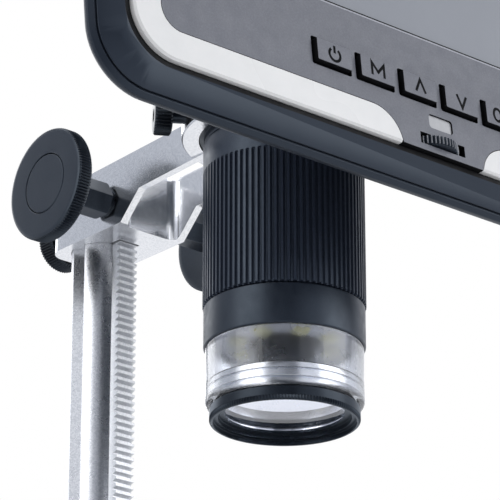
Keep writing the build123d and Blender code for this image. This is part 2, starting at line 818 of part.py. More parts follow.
def lens_elements():
    foot = band_z - lens_nose_drop
    collar_low = tube_low + lens_collar_lift
    front = lens_element(foot + 0.8, 2.6, 0.7)
    rear = lens_element(collar_low + 1.5, 2.4, 0.6)
    return HEAD * Compound([front, rear])


# ---------------------------------------------------------------- camera head

def camera_body():
    """Turned housing with a flange that rests on the ring and a flat above it for the hinge."""
    body = disc(neck_radius, ring_z + neck_set_up, head_top - head_cap_height)
    step = disc(neck_step_radius, neck_z, ring_z + 1)
    body += chamfer(step.faces().sort_by(Axis.Z)[0].edges(), 0.25)
    flange = disc(flange_radius, ring_top + seat_gap, ring_top + seat_gap + flange_height)
    body += chamfer(flange.edges().filter_by(GeomType.CIRCLE), 0.4)
    body -= disc(tube_outer, neck_z - 1, board_z())
    body -= disc(head_chamber_radius, board_z(), board_z() + head_chamber_height)
    body -= bracket_flat()
    return HEAD * (body - bracket_screw_holes(bracket_screw_radius))


def bracket_flat():
    low = hinge_z() - bracket_half_height - 0.2
    return block(-neck_radius, neck_radius, -neck_radius - 1, -head_flat, low, head_top + 1)


def head_cap():
    cap = disc(neck_radius, head_top - head_cap_height, head_top)
    return HEAD * (bevel_top(cap, head_cap_bevel) - bracket_flat())


def board_z():
    return ring_z + 2.0


def sensor_board():
    """Camera board with the sensor chip on its underside."""
    low = board_z()
    chip = Pos(0, 0, low - sensor_height) * Box(sensor_size, sensor_size, sensor_height, align=UP)
    return HEAD * (disc(head_chamber_radius, low, low + sensor_board_thickness) + chip)


def hinge_y():
    return -head_flat - hinge_reach


def hinge_z():
    """Tilt axis above the filter's face, worked out through the leaning monitor."""
    return monitor_level - (shell_depth + hinge_offset) * sin(lean_turn) + hinge_rise * cos(lean_turn)


def bracket_screw_places():
    return [(side * bracket_screw_span, hinge_z() + bracket_half_height - 2.0) for side in (-1, 1)]


def bracket_screw_holes(radius):
    start, end = -head_flat - bracket_plate - 1, bracket_screw_length - head_flat
    return [along_y(radius, start, end, x, z) for x, z in bracket_screw_places()]


def tilt_bracket():
    """Plate on the head's flat with a middle knuckle for the hinge pin."""
    y, z = hinge_y(), hinge_z()
    half, front = bracket_half_width - 3.6, -head_flat - bracket_plate
    plate = block(-bracket_half_width, bracket_half_width, front, -head_flat, z - bracket_half_height,
                  z + bracket_half_height)
    bracket = plate + along_x(knuckle_radius, -half, half, y, z)
    bracket += block(-half, half, y, front, z - 3.0, z + 3.0)
    bracket -= along_x(hinge_pin_radius, -half - 1, half + 1, y, z)
    return HEAD * (bracket - bracket_screw_holes(bracket_screw_radius))


def bracket_screws():
    screws = []
    front = -head_flat - bracket_plate
    for x, z in bracket_screw_places():
        head = along_y(1.7, front - 1.0, front, x, z)
        shank = along_y(bracket_screw_radius, front, bracket_screw_length - head_flat - 0.3, x, z)
        screws.append(HEAD * (head + shank))
    return Compound(screws)


def hinge_pin():
    half = lug_inner + lug_width
    return HEAD * along_x(hinge_pin_radius, -half, half, hinge_y(), hinge_z())


# ---------------------------------------------------------------- monitor

def upright(sketch, depth, thickness):
    """Stand a flat outline (x across, y up) at a depth behind the front face and thicken it back."""
    return Pos(0, depth, 0) * extrude(Plane.XZ * sketch, -thickness)


def panel_outline(half_width, low, high, corner):
    return Pos(0, (low + high) / 2) * RectangleRounded(2 * half_width, high - low, corner)


def slab_outline(shrink=0.0):
    return panel_outline(slab_half_width - shrink, slab_low + shrink, slab_top - shrink, trim_corner - shrink)


def plate_outline():
    """The faceplate: a rounded rectangle that runs out between the trims in hollow-sided tongues."""
    plate = panel_outline(plate_half_width, plate_low, plate_top, plate_corner)
    plate += Pos(0, (slab_low + slab_top) / 2) * Rectangle(2 * tongue_root, slab_top - slab_low)
    for side in (-1, 1):
        for centre in (plate_low - tongue_round, plate_top + tongue_round):
            plate -= Pos(side * tongue_root, centre) * Circle(tongue_round)
    return plate


def screen_centre():
    return screen_low + screen_height / 2


def key_x(index):
    return (index - (key_count - 1) / 2) * key_pitch


def key_centre_z():
    return key_pocket_low + key_pocket_height / 2


def faceplate():
    """Front panel with the screen window, six key pockets, the sensor window and the wheel's slot."""
    outline = plate_outline()
    outline -= Pos(0, screen_centre()) * Rectangle(screen_width, screen_height)
    pocket = RectangleRounded(key_pocket_width, key_pocket_height, 0.5)
    for index in range(key_count):
        outline -= Pos(key_x(index), key_centre_z()) * pocket
    outline -= Pos(0, ir_low + ir_height / 2) * RectangleRounded(ir_width, ir_height, ir_corner)
    slot = wheel_thickness + 2 * wheel_slot_gap
    outline -= Pos(0, wheel_middle) * Rectangle(2 * wheel_slot_half, slot)
    return MONITOR * upright(outline, 0, plate_thickness)


def trim(side):
    """Bright C-shaped band beside the faceplate, bevelled along its outer edge."""
    slab = upright(slab_outline(), 0, plate_thickness)
    outer = slab.faces().sort_by(Axis.Y)[0].outer_wire().edges()
    slab = chamfer(outer, trim_bevel)
    inner = offset(plate_outline(), trim_gap, kind=Kind.INTERSECTION)
    band = slab - upright(inner, -1, plate_thickness + 2)
    x0, x1 = sorted((0, side * 2 * slab_half_width))
    return MONITOR * (band & block(x0, x1, -1, plate_thickness + 1, slab_low - 1, slab_top + 1))


def frame_body():
    """Surround that slopes back from the groove to the parting line, with a lip inside the shell."""
    front = upright(panel_outline(frame_half_width, frame_low, frame_top, frame_corner), frame_setback,
                    frame_depth - frame_setback)
    face = front.faces().sort_by(Axis.Y)[0]
    front = chamfer(face.outer_wire().edges(), frame_width, frame_depth - frame_setback - 0.3, reference=face)
    lip = shell_outline(shell_wall + frame_lip_gap)
    front += upright(lip, frame_depth, rim_depth - shell_wall - frame_lip_gap - frame_depth)
    middle = shell_outline(frame_block_inset, back_corner + frame_block_inset)
    return front + upright(middle, frame_depth, frame_back - frame_depth)


def front_frame():
    """Surround with seats for faceplate, panel, keys and wheel, open behind the panel."""
    groove = panel_outline(slab_half_width + groove_width, slab_low - groove_width, slab_top + groove_width,
                           trim_corner + 0.6)
    frame = frame_body() - upright(groove, -1, groove_depth + 1)
    frame -= upright(slab_outline(-seat_clearance), -1, plate_thickness + 1)
    pocket = Pos(0, screen_centre()) * Rectangle(screen_width + 2 * panel_margin + 0.2,
                                                 screen_height + 2 * panel_margin + 0.2)
    frame -= upright(pocket, plate_thickness, panel_depth - plate_thickness)
    behind = Pos(0, screen_centre()) * Rectangle(screen_width - 2 * panel_ledge,
                                                 screen_height - 2 * panel_ledge)
    frame -= upright(behind, panel_depth, frame_back)
    key_width = key_pitch * key_count + 2
    keys = Pos(0, key_centre_z()) * Rectangle(key_width, key_pocket_height + 2.4)
    frame -= upright(keys, plate_thickness, key_well_depth() - plate_thickness)
    frame -= wheel_room(0.8)
    frame -= ir_room()
    for x, z in case_screw_places():
        frame -= along_y(case_screw_radius, plate_thickness + 1, frame_back + 1, x, z)
    return MONITOR * frame


def key_well_depth():
    return plate_thickness + key_flange_gap + key_flange_thickness + key_travel + mat_thickness + 0.1


def wheel_room(gap):
    half = wheel_thickness / 2 + gap
    z0, z1 = wheel_middle - half, wheel_middle + half + wheel_axle_reach
    return block(-wheel_radius - gap, wheel_radius + gap, 0, 2 * frame_back, z0, z1)


def ir_room():
    outline = Pos(0, ir_low + ir_height / 2) * Rectangle(ir_width + 1, ir_height + 0.4)
    return upright(outline, 0, frame_back + 1)


def shell_outline(inset=0.0, corner=shell_corner):
    return panel_outline(shell_half_width - inset, shell_low + inset, shell_top - inset, corner - inset)


def sloped_block(inset, low, high):
    """Block behind the thin edge whose four sides slope in towards the flat back."""
    block_part = upright(shell_outline(inset, back_corner + inset), low, high - low)
    face = block_part.faces().sort_by(Axis.Y)[-1]
    rise = high - rim_depth
    return chamfer(face.outer_wire().edges(), rise * tan(radians(back_slope)), rise, reference=face)


def shell_body():
    """Thin edge with a rounded back, and the sloped block that holds the works."""
    depth = frame_depth + parting
    edge = upright(shell_outline(), depth, rim_depth - depth)
    edge = chamfer(edge.faces().sort_by(Axis.Y)[0].outer_wire().edges(), rim_front)
    edge = fillet(edge.faces().sort_by(Axis.Y)[-1].outer_wire().edges(), rim_back_round)
    back = sloped_block(back_inset, depth, shell_depth)
    return edge + chamfer(back.faces().sort_by(Axis.Y)[-1].outer_wire().edges(), back_edge)


def shell_hollow():
    """Room behind the frame, cut back beside the bay of the sockets."""
    depth = frame_depth + parting
    wall = shell_wall / cos(radians(back_slope)) - shell_wall * tan(radians(back_slope))
    hollow = upright(shell_outline(shell_wall), depth - 1, rim_depth - shell_wall - depth + 1)
    sloped = Pos(0, -shell_wall, 0) * sloped_block(back_inset + wall, depth, shell_depth)
    keep = block(socket_wall_x - shell_wall, shell_half_width, frame_back + 0.2, shell_depth,
                 socket_bay_low - shell_wall, socket_bay_high + shell_wall)
    return hollow + sloped - keep


def rear_shell():
    """Hollow back with a sloped rim, screw bosses and an upright bay for the sockets."""
    shell = shell_body() - shell_hollow()
    for x, z in board_posts():
        shell += along_y(boss_radius, board_depth + board_thickness, shell_depth - shell_wall, x, z)
    for x, z in case_screw_places():
        shell += along_y(boss_radius, frame_back, shell_depth - shell_wall, x, z)
        shell -= along_y(case_screw_radius + 0.1, frame_back - 1, shell_depth + 1, x, z)
        shell -= along_y(case_screw_head + 0.2, shell_depth - 2.6, shell_depth + 1, x, z)
    shell -= block(socket_wall_x, shell_half_width + 1, socket_bay_floor, shell_depth + 1, socket_bay_low,
                   socket_bay_high)
    wall = socket_wall_x - socket_depth - 0.6
    shell -= along_x(jack_radius, wall, socket_wall_x + 1, socket_middle, jack_level)
    shell -= socket_box(usb_width, usb_thickness, usb_level, wall, socket_wall_x + 1)
    shell -= socket_box(card_width, card_thickness, card_level, wall, socket_wall_x + 1)
    return MONITOR * shell


def hinge_lugs():
    """Plate on the monitor's back with two eyes for the hinge pin and a window for the knuckle."""
    half = lug_inner + lug_width
    reach = lug_radius + lug_plate_margin
    bracket = block(-half, half, shell_depth, shell_depth + lug_plate, hinge_rise - reach, hinge_rise + reach)
    window = lug_inner - lug_window_inset
    low, high = hinge_rise - lug_window_rise, hinge_rise + lug_window_rise
    bracket -= block(-window, window, shell_depth - 1, shell_depth + lug_plate + 1, low, high)
    axis = shell_depth + hinge_offset
    for side in (-1, 1):
        x0, x1 = sorted((side * lug_inner, side * half))
        bracket += along_x(lug_radius, x0, x1, axis, hinge_rise)
        bracket += block(x0, x1, shell_depth, axis, hinge_rise - lug_radius, hinge_rise + lug_radius)
    return MONITOR * (bracket - along_x(hinge_pin_radius + shaft_gap, -half - 1, half + 1, axis, hinge_rise))


def case_screw_places():
    low, high = frame_low + case_screw_inset, frame_top - case_screw_inset
    return [(sx * case_screw_x, z) for sx in (-1, 1) for z in (low, high)]


def board_posts():
    x = board_half_width - board_post_inset
    low, high = board_low + board_post_inset, board_high - board_post_inset
    return [(sx * x, z) for sx in (-1, 1) for z in (low, high)]


def shell_screws():
    screws = []
    for x, z in case_screw_places():
        head = along_y(case_screw_head, shell_depth - 2.6, shell_depth - 0.8, x, z)
        shank = along_y(case_screw_radius, plate_thickness + 1.2, shell_depth - 2.6, x, z)
        screws.append(MONITOR * (head + shank))
    return Compound(screws)


def lcd_panel():
    width, height = screen_width + 2 * panel_margin, screen_height + 2 * panel_margin
    outline = Pos(0, screen_centre()) * Rectangle(width, height)
    return MONITOR * upright(outline, plate_thickness, panel_depth - plate_thickness)


def display_window():
    outline = Pos(0, screen_centre()) * Rectangle(screen_width, screen_height)
    return MONITOR * upright(outline, screen_recess, plate_thickness - screen_recess)


def main_board():
    """Circuit board on the shell's posts, with the wheel's resistor block standing to the wheel."""
    outline = Pos(0, (board_low + board_high) / 2) * Rectangle(2 * board_half_width, board_high - board_low)
    board = upright(outline, board_depth, board_thickness)
    low = wheel_top + 0.2
    holder = block(-3, 3, wheel_axis_y - 2.2, board_depth, low, low + wheel_axle_reach)
    tail = block(-3, 3, board_depth - 1.0, board_depth + board_thickness, low, board_low + 1)
    board += holder + tail
    axle = disc(wheel_axle_radius + shaft_gap, low - 1, low + wheel_axle_reach + 1)
    return MONITOR * (board - Pos(0, wheel_axis_y, 0) * axle)


def keypad_mat():
    """Rubber mat behind the keys, in the frame's well."""
    width = key_pitch * key_count + 1.6
    front = key_well_depth() - mat_thickness
    outline = Pos(0, key_centre_z()) * RectangleRounded(width, key_pocket_height + 2.0, 1.0)
    return MONITOR * upright(outline, front, mat_thickness)


def key(index):
    """Proud key cap with a flange behind the faceplate that stops it."""
    width, height = key_pocket_width - 2 * key_gap, key_pocket_height - 2 * key_gap
    back = plate_thickness + key_flange_gap
    cap = upright(RectangleRounded(width, height, 0.3), -key_proud, back + key_proud)
    flange = upright(Rectangle(key_pocket_width + key_flange, key_pocket_height + 2 * key_flange), back,
                     key_flange_thickness)
    return MONITOR * Pos(key_x(index), 0, key_centre_z()) * (cap + flange)


def ir_window():
    outline = Pos(0, ir_low + ir_height / 2) * RectangleRounded(ir_width, ir_height, ir_corner)
    return MONITOR * upright(outline, ir_recess, plate_thickness - ir_recess)


def brightness_wheel():
    """Ribbed dial on an upright axle."""
    points = []
    for index in range(2 * wheel_ribs):
        radius = wheel_radius - (index % 2) * wheel_rib_depth
        for edge in (-0.25, 0.25):
            angle = (index + edge) * pi / wheel_ribs
            points.append((radius * cos(angle), radius * sin(angle)))
    low = wheel_middle - wheel_thickness / 2
    wheel = Pos(0, 0, low) * extrude(make_face(Polyline(*points, close=True)), wheel_thickness)
    axle = disc(wheel_axle_radius, low, low + wheel_thickness + wheel_axle_reach)
    return MONITOR * Pos(0, wheel_axis_y, 0) * (wheel + axle)


# ---------------------------------------------------------------- sockets

def socket_box(width, thickness, level, x0, x1):
    return block(x0, x1, socket_middle - thickness / 2, socket_middle + thickness / 2, level - width / 2,
                 level + width / 2)


def dc_jack():
    outer = socket_wall_x - socket_set_back
    body = along_x(jack_radius, outer - socket_depth, outer, socket_middle, jack_level)
    body -= along_x(jack_hole, outer - socket_depth + 1.5, outer + 1, socket_middle, jack_level)
    return MONITOR * (body + along_x(jack_pin, outer - socket_depth, outer - 0.8, socket_middle, jack_level))


def flat_socket(width, thickness, mouth_width, mouth, level):
    outer = socket_wall_x - socket_set_back
    body = socket_box(width, thickness, level, outer - socket_depth, outer)
    opening = socket_box(mouth_width, mouth, level, outer - socket_depth + socket_wall, outer + 1)
    return MONITOR * (body - opening)


def usb_socket():
    return flat_socket(usb_width, usb_thickness, usb_mouth_width, usb_mouth, usb_level)


def card_slot():
    return flat_socket(card_width, card_thickness, card_width - 2 * socket_wall, card_mouth, card_level)


# ---------------------------------------------------------------- all the pieces

def nodes():
    pieces = {
        "base_plate": base_plate(), "stage_plate": stage_plate(), "rubber_feet": rubber_feet(),
        "column": column(), "column_collar": column_collar(), "column_screw": column_screw(),
        "column_cap": column_cap(), "rack_strip": rack_strip(),
        "arm_casting": arm_casting(),
        "left_shaft_bush": shaft_bush(-1), "right_shaft_bush": shaft_bush(1),
        "pinion_shaft": pinion_shaft(), "left_focus_knob": focus_knob(-1), "right_focus_knob": focus_knob(1),
        "left_knob_cap": knob_cap(-1), "right_knob_cap": knob_cap(1), "knob_screws": knob_screws(),
        "lock_knob": lock_knob(), "lock_stud": lock_stud(),
        "clamp_knob": clamp_knob(), "clamp_stud": clamp_stud(),
        "filter_ring": filter_ring(), "filter_glass": filter_glass(),
        "clear_skirt": clear_skirt(), "thread_ring": thread_ring(), "light_board": light_board(),
        "leds": leds(), "lower_band": lower_band(), "inner_tube": inner_tube(),
        "focus_sleeve": focus_sleeve(), "lens_cell": lens_cell(), "lens_elements": lens_elements(),
        "camera_body": camera_body(), "head_cap": head_cap(), "sensor_board": sensor_board(),
        "tilt_bracket": tilt_bracket(), "bracket_screws": bracket_screws(), "hinge_pin": hinge_pin(),
        "hinge_lugs": hinge_lugs(),
        "rear_shell": rear_shell(), "front_frame": front_frame(), "faceplate": faceplate(),
        "left_trim": trim(-1), "right_trim": trim(1), "display_window": display_window(),
        "lcd_panel": lcd_panel(), "main_board": main_board(), "keypad_mat": keypad_mat(),
        "ir_window": ir_window(), "shell_screws": shell_screws(),
        "dc_jack": dc_jack(), "usb_socket": usb_socket(), "card_slot": card_slot(),
        "brightness_wheel": brightness_wheel(),
    }
    for index, name in enumerate(key_names):
        pieces[name] = key(index)
    return pieces


os.makedirs("parts", exist_ok=True)
for node_name, shape in nodes().items():
    export_step(shape, f"parts/{node_name}.step")
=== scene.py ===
import json
import math
import bmesh
import bpy
import numpy as np
from mathutils import Matrix, Vector


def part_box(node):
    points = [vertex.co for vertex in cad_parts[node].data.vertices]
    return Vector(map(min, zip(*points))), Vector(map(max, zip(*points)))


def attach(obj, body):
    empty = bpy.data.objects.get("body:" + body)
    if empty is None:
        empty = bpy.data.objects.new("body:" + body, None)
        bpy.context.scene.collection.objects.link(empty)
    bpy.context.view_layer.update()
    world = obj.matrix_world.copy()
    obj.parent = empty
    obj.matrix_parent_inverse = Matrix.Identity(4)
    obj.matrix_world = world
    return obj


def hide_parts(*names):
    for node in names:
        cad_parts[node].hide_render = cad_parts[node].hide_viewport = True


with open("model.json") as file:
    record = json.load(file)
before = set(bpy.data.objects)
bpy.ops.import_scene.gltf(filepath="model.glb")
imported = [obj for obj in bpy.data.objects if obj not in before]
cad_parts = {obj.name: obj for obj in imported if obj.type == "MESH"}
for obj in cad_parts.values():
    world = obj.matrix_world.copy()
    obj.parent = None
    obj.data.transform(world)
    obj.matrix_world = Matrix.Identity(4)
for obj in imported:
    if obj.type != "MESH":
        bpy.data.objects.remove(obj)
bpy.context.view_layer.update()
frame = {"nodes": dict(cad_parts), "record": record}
scene = bpy.context.scene
nodes = frame["nodes"]
bodyOf = {node: body for body, members in frame["record"]["behaviour"]["bodies"].items() for node in members}
print("frame loaded:", len(nodes), "nodes")

mm = 0.001
cool = {"Specular Tint": (0.70, 0.84, 1.0, 1.0), "Specular IOR Level": 0.62}     # bluish sheen of black ABS
acrylic = {"Transmission Weight": 1.0, "IOR": 1.49}
barrelOrigin = (0.0, -14.3, 106.0)                     # optical axis and the filter's lower face, in mm
monitorPlace = {"front": 46.45, "level": 45.1, "lean": 6.0}     # from the barrel's origin, in mm and degrees
monitorTurn = (Matrix.Translation((0, -monitorPlace["front"], monitorPlace["level"]))
               @ Matrix.Rotation(math.radians(-monitorPlace["lean"]), 4, "X"))
frontward = np.array(monitorTurn.to_3x3() @ Vector((0, -1, 0)))

view = {"eye": (-384.29, -436.24, -194.10), "aim": (-9.12, 0, 34.56), "lens": 222.4, "sensor": 36.0,
        "near": 0.01, "far": 20.0}
room = {"light": "#fbfcff", "power": 0.55, "table": "#f6f8fc", "tableShare": 0.85, "floor": "#f4f4f4",
        "radius": 0.268, "fade": (0.72, 0.99), "sides": 128, "lampsAim": (0, 0, 0.14),
        # what gloss sees round the room, by degrees from +X over the left side: white, then a dark flag
        "flag": [(70, "#f4f6fb"), (105, "#b9bec9"), (150, "#b9bec9"), (164, "#f4f6fb"), (180, "#eceff6"),
                 (204, "#c6cad4"), (226, "#999da6"), (247, "#5f636c"), (253, "#e9edf8")]}
lamps = {                                              # places and sizes in metres, power in watts
    "softboxLeft": {"place": (-1.4, 0.1, 0.75), "size": (1.1, 1.4), "power": 6.5},
    "softboxRight": {"place": (0.9, -1.2, 0.6), "size": (1.1, 1.3), "power": 8.0},
    "softboxTop": {"place": (0.1, 0.2, 1.4), "size": (1.4, 1.4), "power": 7.0},
    "softboxBack": {"place": (0.2, 1.3, 0.5), "size": (1.3, 1.0), "power": 5.0},
}


def toLinear(code):
    # an sRGB hex colour as linear red, green, blue and a full alpha
    parts = [int(code[i:i + 2], 16) / 255 for i in (1, 3, 5)]
    return [c / 12.92 if c <= 0.04045 else ((c + 0.055) / 1.055) ** 2.4 for c in parts] + [1.0]


def add(tree, kind, inputs=None, stops=None, **settings):
    # one shader node: a value that is a socket is linked, any other is set, and stops fill its colour ramp
    node = tree.nodes.new(kind)
    for key, value in settings.items():
        setattr(node, key, value)
    for key, value in (inputs or {}).items():
        if isinstance(value, bpy.types.NodeSocket):
            tree.links.new(value, node.inputs[key])
        else:
            node.inputs[key].default_value = value
    while stops and len(node.color_ramp.elements) < len(stops):
        node.color_ramp.elements.new(0.5)
    for element, (place, code) in zip(node.color_ramp.elements if stops else (), stops or ()):
        element.position, element.color = place, toLinear(code)
    return node


def emptyMaterial(name):
    mat = bpy.data.materials.new(name)
    mat.use_nodes = True
    mat.node_tree.nodes.clear()
    return mat, mat.node_tree


def facing(place, target):
    place, target = Vector(place), Vector(target)
    return Matrix.Translation(place) @ (target - place).to_track_quat("-Z", "Y").to_matrix().to_4x4()


def setCamera():
    cam = bpy.data.cameras.new("camera")
    cam.lens, cam.sensor_width = view["lens"], view["sensor"]
    cam.clip_start, cam.clip_end = view["near"], view["far"]
    obj = bpy.data.objects.new("camera", cam)
    scene.collection.objects.link(obj)
    origin = Vector(barrelOrigin)
    obj.matrix_world = facing((Vector(view["eye"]) + origin) * mm, (Vector(view["aim"]) + origin) * mm)
    scene.camera = obj


def setWorld():
    # white where the camera looks, half as strong as light, and for gloss and glass a bluish white studio
    # with a dark flag on the stand's left
    world = bpy.data.worlds.new("room")
    world.use_nodes = True
    tree = world.node_tree
    tree.nodes.clear()
    path = add(tree, "ShaderNodeLightPath")
    place = add(tree, "ShaderNodeTexCoord").outputs["Generated"]
    axes = add(tree, "ShaderNodeSeparateXYZ", {0: place}).outputs
    back = [add(tree, "ShaderNodeMath", {0: axis, 1: -1.0}, operation="MULTIPLY").outputs[0]
            for axis in axes[:2]]
    turn = add(tree, "ShaderNodeMath", {0: back[1], 1: back[0]}, operation="ARCTAN2")
    first, last = room["flag"][0][0], room["flag"][-1][0]
    share = add(tree, "ShaderNodeMapRange", {"Value": turn.outputs[0], "From Min": math.radians(first - 180),
                                             "From Max": math.radians(last - 180)})
    around = add(tree, "ShaderNodeValToRGB", {"Fac": share.outputs[0]}, stops=[
        ((angle - first) / (last - first), code) for angle, code in room["flag"]])
    mirrored = add(tree, "ShaderNodeMath", {0: path.outputs["Is Glossy Ray"],
                                            1: path.outputs["Is Transmission Ray"]}, operation="MAXIMUM")
    light = add(tree, "ShaderNodeBackground", {"Color": toLinear(room["light"]), "Strength": room["power"]})
    gloss = add(tree, "ShaderNodeBackground", {"Color": around.outputs["Color"], "Strength": 1.0})
    white = add(tree, "ShaderNodeBackground", {"Color": (1, 1, 1, 1), "Strength": 1.0})
    lit = add(tree, "ShaderNodeMixShader", {0: mirrored.outputs[0], 1: light.outputs[0], 2: gloss.outputs[0]})
    mix = add(tree, "ShaderNodeMixShader", {0: path.outputs["Is Camera Ray"], 1: lit.outputs[0],
                                            2: white.outputs[0]})
    add(tree, "ShaderNodeOutputWorld", {"Surface": mix.outputs[0]})
    scene.world = world


def setFloor():
    # white round floor that fades to the backdrop's white at its rim, keeps the shadow, and shows gloss a
    # paler face, as a lit table does
    radius, sides, (start, end) = room["radius"], room["sides"], room["fade"]
    turns = np.linspace(0, 2 * np.pi, sides, endpoint=False)
    mesh = bpy.data.meshes.new("floor")
    points = np.stack([radius * np.cos(turns), radius * np.sin(turns), 0 * turns], 1)
    mesh.from_pydata(points.tolist(), [], [list(range(sides))])
    obj = bpy.data.objects.new("floor", mesh)
    scene.collection.objects.link(obj)
    mat, tree = emptyMaterial("paintedWhiteFloor")
    place = add(tree, "ShaderNodeTexCoord")
    size = add(tree, "ShaderNodeVectorMath", {0: place.outputs["Object"]}, operation="LENGTH")
    fade = add(tree, "ShaderNodeMapRange", {"Value": size.outputs["Value"], "From Min": radius * start,
                                            "From Max": radius * end})
    paint = add(tree, "ShaderNodeBsdfDiffuse", {"Color": toLinear(room["floor"])})
    glow = add(tree, "ShaderNodeEmission", {"Color": toLinear(room["table"]), "Strength": 1.0})
    clear = add(tree, "ShaderNodeBsdfTransparent")
    path = add(tree, "ShaderNodeLightPath")
    mirrored = add(tree, "ShaderNodeMath", {0: path.outputs["Is Glossy Ray"], 1: room["tableShare"]},
                   operation="MULTIPLY")
    gone = add(tree, "ShaderNodeMath", {0: fade.outputs[0], 1: path.outputs["Is Camera Ray"]},
               operation="MULTIPLY")
    table = add(tree, "ShaderNodeMixShader", {0: mirrored.outputs[0], 1: paint.outputs[0], 2: glow.outputs[0]})
    mix = add(tree, "ShaderNodeMixShader", {0: gone.outputs[0], 1: table.outputs[0], 2: clear.outputs[0]})
    add(tree, "ShaderNodeOutputMaterial", {"Surface": mix.outputs[0]})
    mesh.materials.append(mat)


def setLights():
    for name, facts in lamps.items():
        lamp = bpy.data.lights.new(name, "AREA")
        lamp.shape = "RECTANGLE"
        lamp.size, lamp.size_y = facts["size"]
        lamp.energy = facts["power"]
        obj = bpy.data.objects.new(name, lamp)
        obj.matrix_world = facing(facts["place"], room["lampsAim"])
        scene.collection.objects.link(obj)


setCamera()
setWorld()
setFloor()
setLights()
scene.view_settings.view_transform = "Standard"
print("camera, room, floor and lamps set")


texture = {"detail": 3.0, "fall": 0.6, "coarser": 8, "coarseDetail": 2.0, "low": 0.3, "high": 0.7}


def finish(name, base, roughness, metallic=0.0, grain=0.5, bump=0.003, spread=None, wander=0.15,
           crystals=False, **sockets):
    # principled surface in object space: a noise of grain mm, or crystals of that size, moves the colour
    # between the two spread colours and lifts the normal by bump mm, and a noise several times coarser lets
    # the roughness wander by a share
    mat, tree = emptyMaterial(name)
    place = add(tree, "ShaderNodeTexCoord").outputs["Object"]
    low, high = texture["low"], texture["high"]
    if crystals:
        fine = add(tree, "ShaderNodeTexVoronoi", {"Vector": place, "Scale": 1 / (grain * mm)}).outputs["Color"]
    else:
        fine = add(tree, "ShaderNodeTexNoise", {"Vector": place, "Scale": 1 / (grain * mm),
                                                "Detail": texture["detail"],
                                                "Roughness": texture["fall"]}).outputs["Fac"]
    coarse = add(tree, "ShaderNodeTexNoise", {"Vector": place, "Scale": 1 / (texture["coarser"] * grain * mm),
                                              "Detail": texture["coarseDetail"]})
    rough = add(tree, "ShaderNodeMapRange", {"Value": coarse.outputs["Fac"], "From Min": low, "From Max": high,
                                             "To Min": roughness * (1 - wander),
                                             "To Max": roughness * (1 + wander)})
    lift = add(tree, "ShaderNodeBump", {"Strength": 1.0, "Distance": bump * mm, "Height": fine})
    inputs = {"Base Color": toLinear(base), "Roughness": rough.outputs[0], "Metallic": metallic,
              "Normal": lift.outputs["Normal"], **sockets}
    if spread:
        inputs["Base Color"] = add(tree, "ShaderNodeValToRGB", {"Fac": fine}, stops=[
            (low, spread[0]), (0.5, base), (high, spread[1])]).outputs["Color"]
    shader = add(tree, "ShaderNodeBsdfPrincipled", inputs)
    add(tree, "ShaderNodeOutputMaterial", {"Surface": shader.outputs[0]})
    return mat


# fine spark-eroded mould: dark, slightly blue, with a broad soft sheen along its left side
barrelAbs = finish("absBlackFineMould", "#191e28", 0.36, grain=0.25, bump=0.004,
                   spread=("#141922", "#1f242e"), **cool)
# the sleeve is the same plastic with a coarser grain, its colour painted paler than the barrel's as a painted
# sheen so its ribs look brighter
sleeveAbsPaintedSheen = finish("absBlackRibbedPaintedSheen", "#262c39", 0.38, grain=0.35, bump=0.006,
                   spread=("#20252f", "#2d3341"), **cool)
# polished mould: near black with soft, slightly wavy reflections
shellAbs = finish("absBlackPolishedMould", "#1a1f29", 0.32, grain=8.0, bump=0.02,
                  spread=("#181d27", "#1c212b"), **{**cool, "Specular IOR Level": 0.45})
# the shell behind it is from a duller mould: it stays dark where it turns away, and whitens only at the rim
backAbs = finish("absBlackSatinShell", "#171c26", 0.45, grain=8.0, bump=0.02, spread=("#161b25", "#191e28"),
                 **{**cool, "Specular IOR Level": 0.5})
# painted shade: near-black dull ABS on the walls of the panel's openings, the frame's groove and the key edges,
# so they read as shadowed gaps and dark lines
wallPaintedShade = finish("absBlackPaintedShade", "#08090c", 0.6, grain=0.4, bump=0.003, spread=("#06070a", "#0b0c0f"),
                 **{"Specular IOR Level": 0.2})
# sprayed film with fine metal flake: even grey with a faint speckle, flake drawn coarser than life to show
panelCoat = finish("polyesterFilmGreyFlake", "#666973", 0.42, grain=0.35, bump=0.002,
                   spread=("#60636d", "#6d707a"))
# the same film painted paler, a painted highlight where the window's opening edge catches the light
edgePaintedHighlight = finish("polyesterFilmPaintedEdgeHighlight", "#a3a6b0", 0.35, grain=0.35, bump=0.002,
                  spread=("#9b9ea8", "#abaeb8"))
# pearl moulding: off white with a soft gloss
trimPearl = finish("absPearlWhite", "#ecedee", 0.30, grain=6.0, bump=0.006, spread=("#e9eaeb", "#efeff0"))
# tumbled and plated casting: near mirror with a sparkle that blurs what it reflects, its crystals drawn
# coarser than life to show
armCast = finish("zincAlloySatinChrome", "#eeeff1", 0.20, metallic=1.0, grain=0.26, bump=0.005, crystals=True,
                 spread=("#e8e9eb", "#f4f4f5"))
# drawn and anodised bar: bright streaks along it broken by a grain, again coarser than life
columnBar = finish("aluminiumDrawnAnodised", "#dcdde0", 0.28, metallic=1.0, grain=0.26, bump=0.007,
                   crystals=True, spread=("#d2d4d7", "#e7e8ea"), wander=0.04)
# broached strip: as the bar but duller between its teeth
rackBar = finish("aluminiumBroached", "#e6e7e9", 0.42, metallic=1.0, grain=0.4, bump=0.02,
                 spread=("#d8dadc", "#f1f2f3"))
# fine-textured mould of the knobs: grey-black with a soft even sheen
knobAbs = finish("absBlackSatinMould", "#1b2029", 0.34, grain=0.5, bump=0.004,
                 spread=("#171c25", "#20252f"), **cool)
# the same moulding polished, for the small screw knobs
gripAbs = finish("absBlackPolishedGrip", "#0c0e13", 0.28, grain=0.5, bump=0.004, spread=("#0a0c10", "#101217"),
                 **{**cool, "Specular IOR Level": 0.4})
# oiled black oxide on steel: dark with a faint metal sheen
blackOxide = finish("steelBlackOxide", "#13171e", 0.30, metallic=0.3, grain=0.6, bump=0.003,
                    spread=("#10131a", "#181c24"), **cool)
